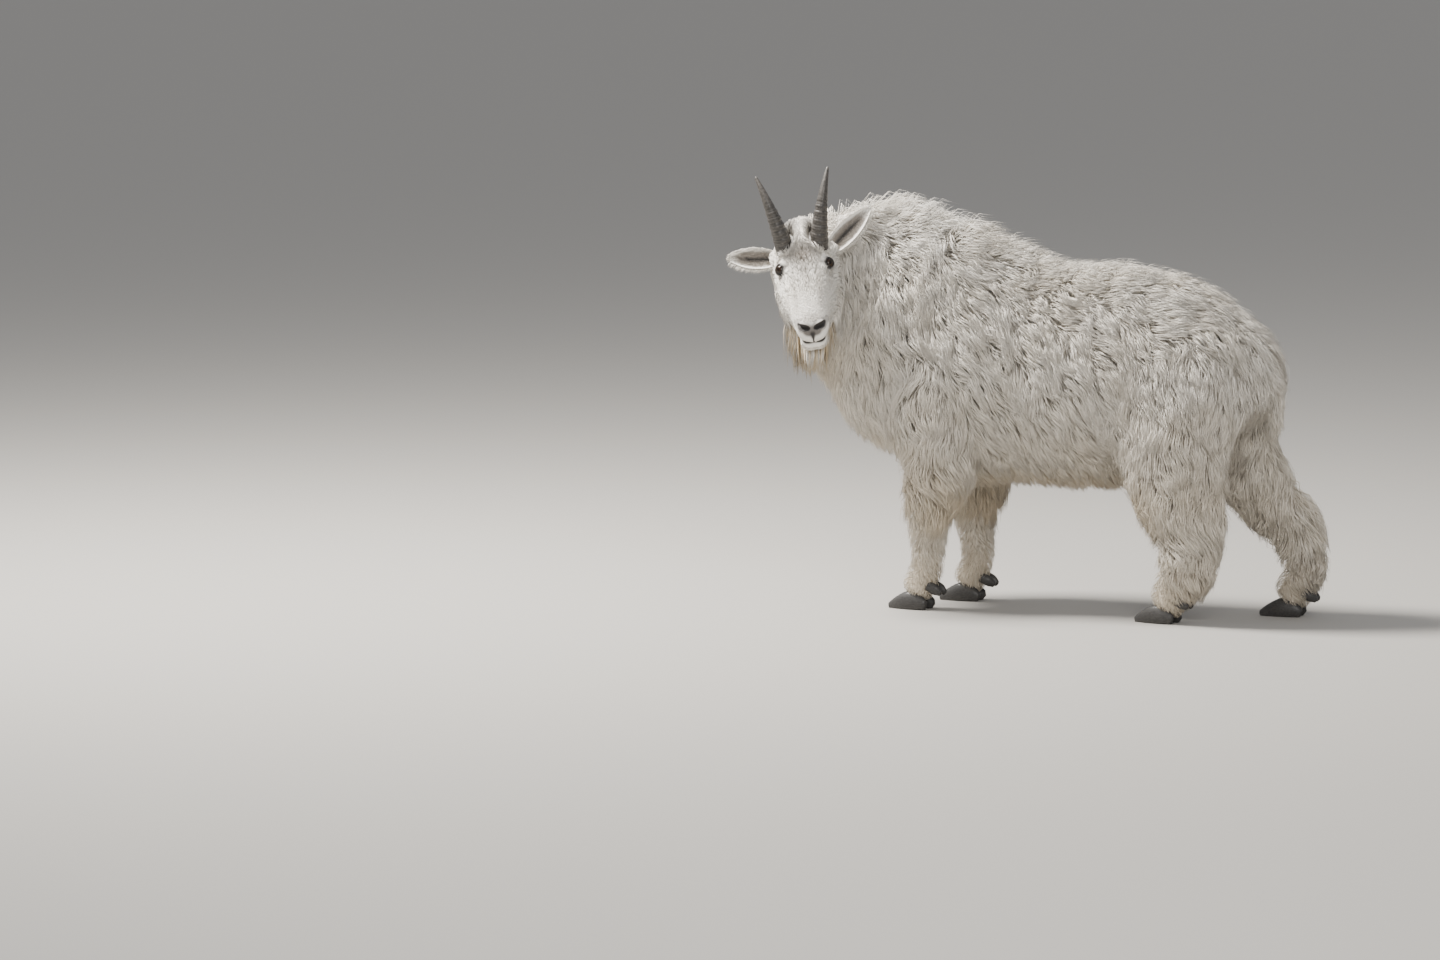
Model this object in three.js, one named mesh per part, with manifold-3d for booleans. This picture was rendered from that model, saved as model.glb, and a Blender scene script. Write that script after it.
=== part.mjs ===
// A standing mountain goat, life size, with its head turned over its left shoulder.
// Millimetres, +Z up. The goat faces -X, its left side is towards -Y, and its hooves stand on Z = 0.
import * as THREE from "three";
import { mergeVertices } from "three/addons/utils/BufferGeometryUtils.js";
import Module from "manifold-3d";

const wasm = await Module();
wasm.setup();

// Driving dimensions
const shoulderHeight = 1000; // floor to the top of the coat over the shoulders
const unit = shoulderHeight / 1000; // the rows of every body form are in thousandths of the shoulder height
const gap = 0.3; // left between touching pieces
const coreShare = 0.5; // how much of the coat's depth the solid core under the locks fills

// How the head is carried, in degrees
const headTurn = 122; // to the left, from straight ahead
const nosePitch = 50; // nose below the horizontal
const headTilt = 12.5; // left ear raised
const betweenEyes = [-667, -250, 862]; // where the head is hung, in body rows' units

// Rows of a body form, from one end to the other:
// [x, y, z of its middle, half width, half height above or behind, half height below or before, coat depth]
const torsoRows = [
  [-642, 0, 525, 45, 55, 60, 46],
  [-602, 0, 545, 90, 194, 150, 56],
  [-540, 0, 585, 122, 300, 252, 64],
  [-440, 0, 600, 138, 326, 258, 64],
  [-330, 0, 600, 144, 306, 250, 62],
  [-220, 0, 600, 150, 268, 240, 54],
  [-100, 0, 590, 158, 240, 240, 50],
  [30, 0, 585, 160, 248, 236, 50],
  [150, 0, 600, 152, 236, 220, 52],
  [240, 0, 610, 146, 194, 182, 54],
  [340, 0, 605, 130, 146, 135, 52],
  [425, 0, 600, 98, 84, 80, 48],
  [475, 0, 595, 50, 34, 35, 45],
];
const neckRows = [
  [-430, 0, 680, 112, 236, 180, 66],
  [-530, -5, 735, 106, 232, 200, 66],
  [-606, -32, 785, 90, 226, 196, 62],
  [-660, -80, 834, 72, 190, 148, 54],
  [-694, -128, 872, 60, 128, 102, 44],
  [-708, -167, 906, 50, 74, 66, 34],
];
const tailRows = [
  [430, 0, 655, 26, 24, 24, 20],
  [472, 0, 632, 24, 18, 18, 24],
  [490, 0, 585, 20, 14, 14, 26],
  [494, 0, 525, 14, 11, 11, 26],
  [490, 0, 470, 8, 7, 7, 22],
];
// Legs, for the left side; the right ones mirror y
const foreLegRows = [
  [-430, -75, 690, 42, 76, 76, 40],
  [-410, -98, 590, 52, 90, 85, 50],
  [-378, -120, 480, 55, 100, 60, 56],
  [-372, -122, 370, 44, 88, 44, 56],
  [-380, -118, 285, 35, 60, 34, 50],
  [-389, -114, 215, 27, 32, 27, 34],
  [-390, -111, 150, 25, 27, 26, 24],
  [-392, -110, 105, 26, 27, 29, 19],
  [-400, -110, 78, 29, 28, 34, 15],
  [-420, -110, 48, 33, 38, 40, 12],
];
const nearHindRows = [
  [330, -70, 680, 46, 84, 94, 40],
  [300, -98, 590, 66, 126, 136, 46],
  [270, -114, 490, 64, 140, 132, 50],
  [282, -124, 400, 52, 112, 114, 56],
  [312, -130, 320, 40, 70, 104, 58],
  [338, -130, 250, 32, 48, 100, 54],
  [332, -130, 185, 27, 40, 78, 50],
  [308, -130, 120, 27, 38, 50, 38],
  [280, -130, 80, 31, 34, 38, 20],
  [252, -130, 48, 35, 44, 44, 12],
];
const farHindRows = [
  [345, -70, 680, 46, 84, 94, 40],
  [336, -98, 590, 66, 106, 126, 46],
  [342, -114, 490, 64, 84, 112, 50],
  [372, -124, 400, 50, 58, 88, 52],
  [436, -130, 315, 40, 44, 74, 52],
  [500, -130, 245, 32, 44, 66, 50],
  [526, -130, 180, 27, 32, 42, 44],
  [526, -130, 120, 27, 30, 34, 36],
  [512, -130, 80, 31, 28, 34, 22],
  [486, -130, 48, 35, 40, 42, 12],
];
// The head, in its own frame: x to the nose, y to the left, z out of the forehead, from between the eyes
const headRows = [
  [-120, 0, -18, 28, 24, 28, 8],
  [-98, 0, -12, 50, 46, 52, 10],
  [-58, 0, -6, 64, 60, 76, 10],
  [-16, 0, -6, 68, 56, 84, 9],
  [25, 0, -9, 66, 46, 80, 8],
  [65, 0, -13, 60, 40, 68, 7],
  [105, 0, -16, 52, 36, 54, 5],
  [142, 0, -19, 45, 33, 44, 4],
  [170, 0, -22, 42, 29, 40, 3],
  [190, 0, -27, 35, 22, 32, 2],
  [200, 0, -31, 25, 14, 19, 2],
];

// The lower jaw, in the head's frame
const jawRows = [
  [-20, 0, -58, 58, 28, 32, 16],
  [18, 0, -65, 64, 30, 32, 20],
  [60, 0, -65, 58, 28, 30, 20],
  [105, 0, -64, 46, 24, 28, 16],
  [145, 0, -65, 38, 20, 25, 10],
  [175, 0, -65, 31, 16, 20, 5],
  [191, 0, -64, 21, 11, 14, 3],
];

const toVector = (p) => new THREE.Vector3(p[0], p[1], p[2]);
const smooth = (low, high, x) => THREE.MathUtils.smoothstep(x, low, high);

// Reads one column of a form's rows as a smooth value along it, at u from 0 to 1.
function columnOf(rows, column) {
  const curve = new THREE.SplineCurve(rows.map((row, i) => new THREE.Vector2(i, row[column])));
  return (u) => curve.getPoint(u).y;
}

// A body form: a path with an egg-shaped section that changes along it.
// level tells which way the section is held: a trunk and a limb keep their sides level, and their rise is
// upwards or backwards. A neck keeps its crest upright. share tells how much of the coat's depth the form
// fills at u, and bare is where along it the locks end, so that it fills all of it from there on.
function bodyForm(rows, options) {
  const { level = "trunk", ridge = 2, keel = 2, mirror = false, share = 1, bare = 2, grow = 0 } = options;
  const path = new THREE.CatmullRomCurve3(rows.map(toVector), false, "catmullrom", 0.5);
  const [halfWidth, above, below, depth] = [3, 4, 5, 6].map((column) => columnOf(rows, column));
  const flip = mirror ? -1 : 1;
  const filled = (u) => THREE.MathUtils.lerp(share, 1, smooth(bare - 0.12, bare, u));
  // The middle, the two directions of the section and its three half sizes at u.
  function station(u) {
    const middle = path.getPoint(u);
    const ahead = path.getTangent(u);
    const kept = level === "neck" ? new THREE.Vector3(0, 0, 1) : new THREE.Vector3(0, 1, 0);
    kept.addScaledVector(ahead, -kept.dot(ahead)).normalize();
    const other = new THREE.Vector3().crossVectors(ahead, kept);
    const side = level === "neck" ? other : kept;
    const up = level === "neck" ? kept : other;
    if (level === "trunk") up.multiplyScalar(Math.sign(up.z));
    if (level === "limb") up.multiplyScalar(Math.sign(up.x));
    const more = filled(u) * depth(u) + grow / unit;
    const [width, rise, fall] = [halfWidth, above, below].map((half) => half(u) + more);
    return { middle, ahead, side, up, width, rise, fall };
  }
  // A point on the surface, or out beyond it: angle 0 is to the side, a quarter turn is up.
  function surface(u, angle, out = 0) {
    const inRange = THREE.MathUtils.clamp(u, 0, 1);
    const s = station(inRange);
    const cosine = Math.cos(angle);
    const sine = Math.sin(angle);
    const power = 2 / (sine > 0 ? ridge : keel);
    const across = Math.sign(cosine) * Math.abs(cosine) ** power * (s.width + out);
    const upward = Math.sign(sine) * Math.abs(sine) ** power * ((sine > 0 ? s.rise : s.fall) + out);
    const point = s.middle.clone().addScaledVector(s.side, across).addScaledVector(s.up, upward);
    point.addScaledVector(s.ahead, (u - inRange) * path.getLength());
    point.y *= flip;
    return point;
  }
  // Whether a point lies inside the form, made larger by out.
  function holds(point, out = 0) {
    const mirrored = new THREE.Vector3(point.x, point.y * flip, point.z);
    const steps = 40;
    let nearest = null;
    for (let i = 0; i <= steps; i++) {
      const s = station(i / steps);
      const offset = mirrored.clone().sub(s.middle);
      const off = Math.abs(offset.dot(s.ahead));
      if (nearest === null || off < nearest.off) nearest = { off, offset, s };
    }
    const { off, offset, s } = nearest;
    if (off > 30) return false;
    const upward = offset.dot(s.up);
    const power = upward > 0 ? ridge : keel;
    const high = Math.abs(upward) / ((upward > 0 ? s.rise : s.fall) + out);
    return (Math.abs(offset.dot(s.side)) / (s.width + out)) ** power + high ** power < 1;
  }
  // The point, the outward normal and the two surface directions at a place on the form.
  function place(u, angle) {
    const step = 1e-3;
    const point = surface(u, angle);
    const along = surface(u + step, angle).sub(surface(u - step, angle)).divideScalar(2 * step);
    const around = surface(u, angle + step).sub(surface(u, angle - step)).divideScalar(2 * step);
    const normal = new THREE.Vector3().crossVectors(along, around).normalize();
    const middle = station(u).middle;
    middle.y *= flip;
    if (normal.dot(point.clone().sub(middle)) < 0) normal.negate();
    return { point, normal, along, around };
  }
  const coat = (u) => (1 - filled(u)) * depth(u);
  return { surface, station, holds, place, coat, flip, length: path.getLength() };
}

// The closed geometry of a form, with round ends.
function formGeometry(form, around, along) {
  const geometry = new THREE.SphereGeometry(1, around, along);
  const position = geometry.attributes.position;
  const endBulge = 0.6;
  for (let j = 0; j <= along; j++) {
    const even = j / along;
    const u = THREE.MathUtils.lerp(even, (1 - Math.cos(Math.PI * even)) / 2, 0.4);
    for (let i = 0; i <= around; i++) {
      let point = form.surface(u, (2 * Math.PI * i) / around);
      if (j === 0 || j === along) {
        const end = form.station(u);
        const bulge = Math.min(end.width, end.rise, end.fall) * (j === 0 ? -endBulge : endBulge);
        point = end.middle.clone().addScaledVector(end.ahead, bulge);
        point.y *= form.flip;
      }
      position.setXYZ(j * (around + 1) + i, point.x * unit, point.y * unit, point.z * unit);
    }
  }
  return geometry;
}

// A closed geometry as a solid that can be joined and cut.
function solidOf(geometry) {
  const bare = geometry.clone();
  bare.deleteAttribute("normal");
  bare.deleteAttribute("uv");
  const merged = mergeVertices(bare, 1e-3);
  const vertProperties = merged.attributes.position.array;
  const triVerts = Uint32Array.from(merged.index.array);
  const made = new wasm.Manifold(new wasm.Mesh({ numProp: 3, vertProperties, triVerts }));
  if (made.volume() > 0) return made;
  for (let i = 0; i < triVerts.length; i += 3) {
    [triVerts[i + 1], triVerts[i + 2]] = [triVerts[i + 2], triVerts[i + 1]];
  }
  return new wasm.Manifold(new wasm.Mesh({ numProp: 3, vertProperties, triVerts }));
}

// A solid as a three.js geometry, in facets.
function geometryOf(solid) {
  const mesh = solid.getMesh();
  const points = new Float32Array(mesh.numVert * 3);
  for (let i = 0; i < mesh.numVert; i++) {
    points.set(mesh.vertProperties.subarray(i * mesh.numProp, i * mesh.numProp + 3), i * 3);
  }
  const geometry = new THREE.BufferGeometry();
  geometry.setAttribute("position", new THREE.BufferAttribute(points, 3));
  geometry.setIndex(new THREE.BufferAttribute(Uint32Array.from(mesh.triVerts), 1));
  const faceted = geometry.toNonIndexed();
  faceted.computeVertexNormals();
  return faceted;
}

const largest = (solid) =>
  solid.decompose().reduce((best, body) => (body.volume() > best.volume() ? body : best));
const joined = (solids) => wasm.Manifold.union(solids);

// Seeded random numbers from -1 to 1
function randomFrom(seed) {
  let state = seed;
  return () => {
    state = (Math.imul(state, 1664525) + 1013904223) >>> 0;
    return (state / 2 ** 31) - 1;
  };
}

// A lock of the coat: flat and tapered, rooted well inside the form, then bending out and lying over it.
// lie is the way it points, lift how far its tip stands beyond the coat's depth, hang how far it drops.
const lockShape = { base: 0.6, widest: 0.4, rise: 1.7, thick: 11, tipThick: 5, uneven: 0.45, least: 0.45 };
// How many times the gap a grown lock is wider, thicker and longer, so that its slanting sides move out too
const grownLock = { wide: 6, thick: 1.5, tip: 3 };
function lockGeometry(form, { u, angle, lie, length, width, sunk, lift = 0, hang = 0, sway = 0 }, grow) {
  const root = form.place(u, angle);
  const way = lie.clone().addScaledVector(root.normal, -lie.dot(root.normal)).normalize();
  // The steps of u and angle that follow this way over the surface
  const { along, around } = root;
  const [aa, ab, bb] = [along.dot(along), along.dot(around), around.dot(around)];
  const [wa, wb] = [way.dot(along), way.dot(around)];
  const uStep = (wa * bb - wb * ab) / (aa * bb - ab * ab);
  const angleStep = (wb * aa - wa * ab) / (aa * bb - ab * ab);
  const depth = form.coat(u);
  const outAt = (s) =>
    THREE.MathUtils.lerp(-sunk, depth + lift, 1 - Math.max(0, 1 - s) ** lockShape.rise);
  const overForm = (s) => {
    const point = form.surface(u + uStep * length * s, angle + (angleStep * length + sway * s) * s, outAt(s));
    point.z -= hang * s * s;
    return point;
  };
  const straight = (s) => {
    const along = root.point.clone().addScaledVector(way, length * s);
    return along.addScaledVector(root.normal, outAt(s));
  };
  // Where the form turns too sharply for a lock to follow it, the lock goes straight on.
  const knots = [0, 1 / 3, 2 / 3, 1].map(overForm);
  const chords = [1, 2, 3].map((i) => knots[i].clone().sub(knots[i - 1]));
  const even = chords.every((chord) => Math.abs((3 * chord.length()) / length - 1) < lockShape.uneven);
  const gentle = chords.every((chord) => chord.clone().normalize().dot(way) > lockShape.least);
  const choices = even && gentle ? [overForm, straight] : [straight];
  for (const centre of choices) {
    const geometry = taperedTube(centre, root.normal, width, grow);
    if (geometry) return geometry;
  }
  return null;
}

// A flat tapered tube round a centre line, or null where it would turn inside itself
function taperedTube(centre, normal, width, grow) {
  const geometry = new THREE.ConeGeometry(1, 1, 3, 3);
  const position = geometry.attributes.position;
  const corner = Math.sin((2 * Math.PI) / 3);
  const shares = [];
  for (let i = 0; i < position.count; i++) {
    const s = position.getY(i) + 0.5;
    shares.push(s);
    const ringRadius = Math.max(1e-6, 1 - s);
    const [across, over] = [position.getX(i) / ringRadius / corner, position.getZ(i) / ringRadius];
    const tip = s > 0.999;
    const middle = centre(s);
    const ahead = centre(s + 0.02).sub(centre(s - 0.02)).normalize();
    const side = new THREE.Vector3().crossVectors(ahead, normal).normalize();
    const top = new THREE.Vector3().crossVectors(side, ahead);
    const wider = smooth(-0.1, lockShape.widest, s);
    const narrower = 1 - 0.9 * smooth(0.8 * lockShape.widest, 1.08, s);
    const spread = THREE.MathUtils.lerp(lockShape.base, 1, wider) * narrower;
    const wide = tip ? 0 : (width / 2) * spread + (grownLock.wide * grow) / unit;
    const full = THREE.MathUtils.lerp(lockShape.thick, lockShape.tipThick, s);
    const thick = tip ? 0 : full + (grownLock.thick * grow) / unit;
    middle.addScaledVector(side, across * wide).addScaledVector(top, over * thick);
    if (tip) middle.addScaledVector(ahead, (grownLock.tip * grow) / unit);
    position.setXYZ(i, middle.x, middle.y, middle.z);
  }
  const at = (i) => new THREE.Vector3().fromBufferAttribute(position, i);
  let [outward, inward] = [0, 0];
  for (let i = 0; i < geometry.index.count; i += 3) {
    const corners = [0, 1, 2].map((k) => geometry.index.getX(i + k));
    const [a, b, c] = corners.map(at);
    const s = corners.reduce((sum, k) => sum + shares[k], 0) / 3;
    const facing = new THREE.Vector3().crossVectors(b.clone().sub(a), c.clone().sub(a));
    const away = a.add(b).add(c).divideScalar(3).sub(centre(s));
    if (s < 0.001) away.copy(centre(-0.1)).sub(centre(0));
    if (facing.length() < 1e-3) continue;
    if (facing.dot(away) > 0) outward++;
    else inward++;
  }
  geometry.scale(unit, unit, unit);
  return Math.min(outward, inward) === 0 ? geometry : null;
}

// Places for locks, in staggered tiers that are evenly spaced along and around a form
function tiersOf(form, { from, to, tiers, spacing, seed }) {
  const random = randomFrom(seed);
  const places = [];
  const samples = 72;
  for (let tier = 0; tier < tiers; tier++) {
    const u = THREE.MathUtils.lerp(from, to, tiers === 1 ? 0.5 : tier / (tiers - 1));
    const lengths = [0];
    for (let i = 1; i <= samples; i++) {
      const [a, b] = [(i - 1) / samples, i / samples].map((turn) => form.surface(u, 2 * Math.PI * turn));
      lengths.push(lengths[i - 1] + a.distanceTo(b));
    }
    const girth = lengths[samples];
    const count = Math.max(4, Math.round(girth / spacing));
    for (let k = 0; k < count; k++) {
      const target = ((k + (tier % 2) / 2 + 0.12 * random() + 0.25) / count) * girth;
      const next = Math.min(samples, Math.max(1, lengths.findIndex((value) => value >= target % girth)));
      const part = ((target % girth) - lengths[next - 1]) / (lengths[next] - lengths[next - 1]);
      const angle = (2 * Math.PI * (next - 1 + part)) / samples;
      places.push({ u: u + (0.12 * random() * (to - from)) / tiers, angle, random });
    }
  }
  return places;
}

// A box turned about its middle, in body units: as it is, and larger by the gap on every side.
function boxCell(size, middle, turn = [0, 0, 0], matrix = null) {
  const make = (more) => {
    const geometry = new THREE.BoxGeometry(...size.map((value) => value * unit + more));
    geometry.applyMatrix4(new THREE.Matrix4().makeRotationFromEuler(new THREE.Euler(...turn)));
    geometry.translate(...middle.map((value) => value * unit));
    if (matrix) geometry.applyMatrix4(matrix);
    return solidOf(geometry);
  };
  return { inner: make(0), outer: make(2 * gap) };
}

// The head's own frame in the body
const turnAngle = THREE.MathUtils.degToRad(180 + headTurn);
const pitchAngle = THREE.MathUtils.degToRad(nosePitch);
const tiltAngle = THREE.MathUtils.degToRad(headTilt);
const headFrame = new THREE.Matrix4()
  .makeTranslation(...betweenEyes.map((value) => value * unit))
  .multiply(new THREE.Matrix4().makeRotationZ(turnAngle))
  .multiply(new THREE.Matrix4().makeRotationY(pitchAngle))
  .multiply(new THREE.Matrix4().makeRotationX(tiltAngle));
const inHead = (geometry) => geometry.applyMatrix4(headFrame);

// Ellipsoids and such, in the head's frame and in body units
function pebble(middle, half, turn = [0, 0, 0], grow = 0, around = 12, along = 8) {
  const geometry = new THREE.SphereGeometry(1, around, along);
  geometry.scale(...half.map((value) => value * unit + grow));
  geometry.applyMatrix4(new THREE.Matrix4().makeRotationFromEuler(new THREE.Euler(...turn)));
  geometry.translate(...middle.map((value) => value * unit));
  return geometry;
}

const finishes = {
  coat: { color: 0xe6e1d6, roughness: 0.95 },
  horn: { color: 0x2b2926, roughness: 0.5 },
  hoof: { color: 0x3c3b3d, roughness: 0.65 },
  eye: { color: 0x1c130c, roughness: 0.1 },
};
const goat = new THREE.Group();
function addNode(name, solid, finish) {
  const mesh = new THREE.Mesh(geometryOf(largest(solid)), new THREE.MeshStandardMaterial(finishes[finish]));
  mesh.name = name;
  goat.add(mesh);
}

// Eyes
const eyeRadius = 15;
const eyeAt = (side) => [10, side * 57, 14];
const eyeSolid = (side, grow = 0) =>
  solidOf(inHead(pebble(eyeAt(side), [eyeRadius, eyeRadius, eyeRadius], [0, 0, 0], grow, 12, 8)));

// Horns: black, ringed at the base, curving back
const hornBase = { x: -45, y: 43, z: 44 };
const hornSweep = { back: 144, rise: 104, spread: 48 };
const hornShape = {
  radius: 24,
  taper: 0.86,
  power: 1.25,
  deep: 1.12,
  rings: 7,
  ringed: 0.6,
  ringHeight: 0.05,
};
function hornSolid(side, grow = 0) {
  const { taper, power, deep, rings, ringed, ringHeight } = hornShape;
  const start = new THREE.Vector3(hornBase.x + 8, side * (hornBase.y - 2), hornBase.z - 22);
  const bend = new THREE.Vector3(
    hornBase.x - 0.3 * hornSweep.back,
    side * (hornBase.y + 0.3 * hornSweep.spread),
    hornBase.z + 0.72 * hornSweep.rise,
  );
  const tip = new THREE.Vector3(
    hornBase.x - hornSweep.back,
    side * (hornBase.y + hornSweep.spread),
    hornBase.z + hornSweep.rise,
  );
  const path = new THREE.QuadraticBezierCurve3(start, bend, tip);
  const around = 8;
  const along = 14;
  const geometry = new THREE.SphereGeometry(1, around, along);
  const position = geometry.attributes.position;
  for (let j = 0; j <= along; j++) {
    const u = THREE.MathUtils.clamp(j / along, 0, 1);
    const middle = path.getPoint(u);
    const ahead = path.getTangent(u);
    const across = new THREE.Vector3(0, 1, 0).addScaledVector(ahead, -ahead.y).normalize();
    const out = new THREE.Vector3().crossVectors(ahead, across);
    const ringFade = Math.max(0, 1 - u / ringed);
    const ring = ringHeight * Math.cos((2 * Math.PI * u * rings) / ringed) * ringFade;
    const closed = j === 0 || j === along;
    const radius = closed ? 0 : hornShape.radius * (1 - taper * u ** power + ring) + grow / unit;
    for (let i = 0; i <= around; i++) {
      const angle = (2 * Math.PI * i) / around;
      const point = middle
        .clone()
        .addScaledVector(across, radius * Math.cos(angle))
        .addScaledVector(out, deep * radius * Math.sin(angle));
      position.setXYZ(j * (around + 1) + i, point.x * unit, point.y * unit, point.z * unit);
    }
  }
  return solidOf(inHead(geometry));
}

// Ears: pointed leaves with a cup that opens forwards
const ears = {
  left: { side: 1, back: 116, out: 122, lift: 6 },
  right: { side: -1, back: 27, out: 133, lift: -5 },
};
const earBase = [-48, 60, -20];
const earShape = { halfWidth: 27, thick: 15 };
const earCup = { wide: 0.76, thick: 0.9, shift: 9, from: 0.13, length: 0.74 }; // shares of the ear's sizes
const earFacing = [0.45, 0, 0.89];
function earSolid({ side, back, out, lift }, grow = 0, cup = false) {
  const start = new THREE.Vector3(earBase[0], side * earBase[1], earBase[2]);
  const reach = new THREE.Vector3(-back, side * out, lift);
  const ahead = reach.clone().normalize();
  const facing = toVector(earFacing);
  const face = facing.clone().addScaledVector(ahead, -ahead.dot(facing)).normalize();
  const across = new THREE.Vector3().crossVectors(face, ahead);
  const around = 10;
  const along = 9;
  const geometry = new THREE.SphereGeometry(1, around, along);
  const position = geometry.attributes.position;
  for (let j = 0; j <= along; j++) {
    const u = j / along;
    const closed = j === 0 || j === along;
    const leaf = Math.sin(Math.PI * Math.min(1, 0.2 + 0.8 * u) ** 1.15) ** 0.8;
    const wide = closed ? 0 : (cup ? earCup.wide : 1) * earShape.halfWidth * leaf + grow / unit;
    const thick = closed ? 0 : (cup ? earCup.thick : 1) * earShape.thick * leaf + grow / unit;
    const shift = cup ? earCup.shift : 0;
    const from = cup ? earCup.from + earCup.length * u : u;
    for (let i = 0; i <= around; i++) {
      const angle = (2 * Math.PI * i) / around;
      const point = start
        .clone()
        .addScaledVector(reach, from)
        .addScaledVector(across, wide * Math.cos(angle))
        .addScaledVector(face, shift + thick * Math.sin(angle));
      position.setXYZ(j * (around + 1) + i, point.x * unit, point.y * unit, point.z * unit);
    }
  }
  return solidOf(inHead(geometry));
}

// Feet: two claws and two dewclaws each
const feet = {
  front_left: { x: -416, y: -110, turn: -4 },
  front_right: { x: -366, y: 110, turn: 4 },
  hind_left: { x: 252, y: -130, turn: -6 },
  hind_right: { x: 488, y: 130, turn: 6 },
};
const clawRows = [
  [30, 0, 12, 9, 12, 14],
  [12, 0, 17, 14, 21, 20],
  [-16, 0, 18, 17, 28, 22],
  [-46, 0, 13, 14, 20, 18],
  [-74, 0, 5, 7, 9, 10],
];
const dewRows = [
  [70, 0, 44, 6, 7, 8],
  [56, 0, 52, 10, 13, 13],
  [36, 0, 62, 9, 12, 12],
];
// Half the distance between a foot's two claws or dewclaws, and how far they splay in degrees
const [clawSpread, clawSplay] = [20, 6];
const [dewSpread, dewSplay] = [27, -12];
const floor = boxCell([4000, 4000, 400], [0, 0, -200]).inner;
function hornyToe(rows, foot, side, spread, splay, grow, around, along) {
  const full = rows.map((row) => [...row, 0]);
  const geometry = formGeometry(bodyForm(full, { grow, ridge: 1.9, keel: 2.6 }), around, along);
  geometry.applyMatrix4(new THREE.Matrix4().makeRotationZ(THREE.MathUtils.degToRad(side * splay)));
  geometry.translate(0, side * spread * unit, 0);
  geometry.applyMatrix4(new THREE.Matrix4().makeRotationZ(THREE.MathUtils.degToRad(foot.turn)));
  geometry.translate(foot.x * unit, foot.y * unit, 0);
  return solidOf(geometry).subtract(floor);
}

// The long coat: where each form's locks grow, and which way they lie.
// Each entry of tiers gives the first and last place along the form, the number of tiers, the space between
// locks around it, the length and width of a lock, how far out its tip stands and how far out on the crest.
const down = new THREE.Vector3(0, 0, -1);
const back = new THREE.Vector3(1, 0, 0);
const mix = (...pairs) => {
  const sum = new THREE.Vector3();
  for (const [vector, share] of pairs) sum.addScaledVector(vector, share);
  return sum.normalize();
};
// On the trunk the coat lies backwards and down: flatter along the back, straight down on the chest.
function trunkLie(point, normal) {
  const chest = 1 - smooth(-640, -520, point.x);
  const rump = smooth(250, 400, point.x);
  const crest = smooth(0.3, 0.9, normal.z);
  const sideways = mix([back, 0.62], [down, 0.78]);
  const middle = (1 - chest) * (1 - rump);
  return mix([sideways, middle], [down, chest + 1.5 * rump], [back, 1.2 * crest * middle]);
}
const neckLie = (point, normal, ahead) => mix([ahead, -0.8], [down, 1.1 - smooth(0.2, 0.9, normal.z)]);
const legLie = () => mix([down, 1], [back, 0.12]);
const hangLie = () => down;

const rightForeStride = 50;
const rightForeRows = foreLegRows.map((row) => {
  const [x, ...others] = row;
  return [x + rightForeStride * (1 - smooth(48, 480, row[2])), ...others];
});
const legBare = 0.8;
const bodies = {
  torso: {
    rows: torsoRows,
    shape: { ridge: 1.75, keel: 2.1 },
    facets: [17, 13],
    tiers: {
      from: 0.03,
      to: 0.91,
      tiers: 8,
      spacing: 150,
      length: 235,
      width: 138,
      sunk: 22,
      lift: 2,
      crest: 14,
      seed: 11,
    },
    lie: trunkLie,
  },
  neck: {
    rows: neckRows,
    shape: { level: "neck", ridge: 1.8, keel: 1.9 },
    facets: [14, 8],
    tiers: {
      from: 0.42,
      to: 0.95,
      tiers: 4,
      spacing: 116,
      length: 160,
      width: 112,
      sunk: 20,
      lift: 0,
      seed: 23,
    },
    lie: neckLie,
  },
  tail: {
    rows: tailRows,
    shape: { level: "limb" },
    facets: [8, 6],
    tiers: {
      from: 0.36,
      to: 0.62,
      tiers: 2,
      spacing: 46,
      length: 100,
      width: 42,
      sunk: 9,
      lift: 4,
      seed: 31,
    },
    lie: hangLie,
  },
};
const legShapes = {
  leg_front_left: { rows: foreLegRows, mirror: false, lowest: 0.54, seed: 41 },
  leg_front_right: { rows: rightForeRows, mirror: true, lowest: 0.54, seed: 43 },
  leg_hind_left: { rows: nearHindRows, mirror: false, lowest: 0.62, seed: 47 },
  leg_hind_right: { rows: farHindRows, mirror: true, lowest: 0.62, seed: 53 },
};
for (const [name, { rows, mirror, lowest, seed }] of Object.entries(legShapes)) {
  bodies[name] = {
    rows,
    shape: { level: "limb", mirror, bare: legBare },
    facets: [11, 11],
    tiers: {
      from: 0.14,
      to: lowest,
      tiers: 4,
      spacing: 112,
      length: 165,
      width: 96,
      sunk: 15,
      lift: 0,
      seed,
    },
    lie: legLie,
  };
}
const formOf = (name, grow = 0) =>
  bodyForm(bodies[name].rows, { ...bodies[name].shape, share: coreShare, grow });
const coreOf = (name, grow) => solidOf(formGeometry(formOf(name, grow), ...bodies[name].facets));

// The head's forms keep their whole outline, as its hair is short.
const headForm = (grow) => bodyForm(headRows, { ridge: 2.1, keel: 1.9, grow });
const jawForm = (grow) => bodyForm(jawRows, { ridge: 2, keel: 1.9, grow });
const skullSolid = (grow) =>
  joined([
    solidOf(inHead(formGeometry(headForm(grow), 18, 14))),
    solidOf(inHead(formGeometry(jawForm(grow), 12, 7))),
  ]);

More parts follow.
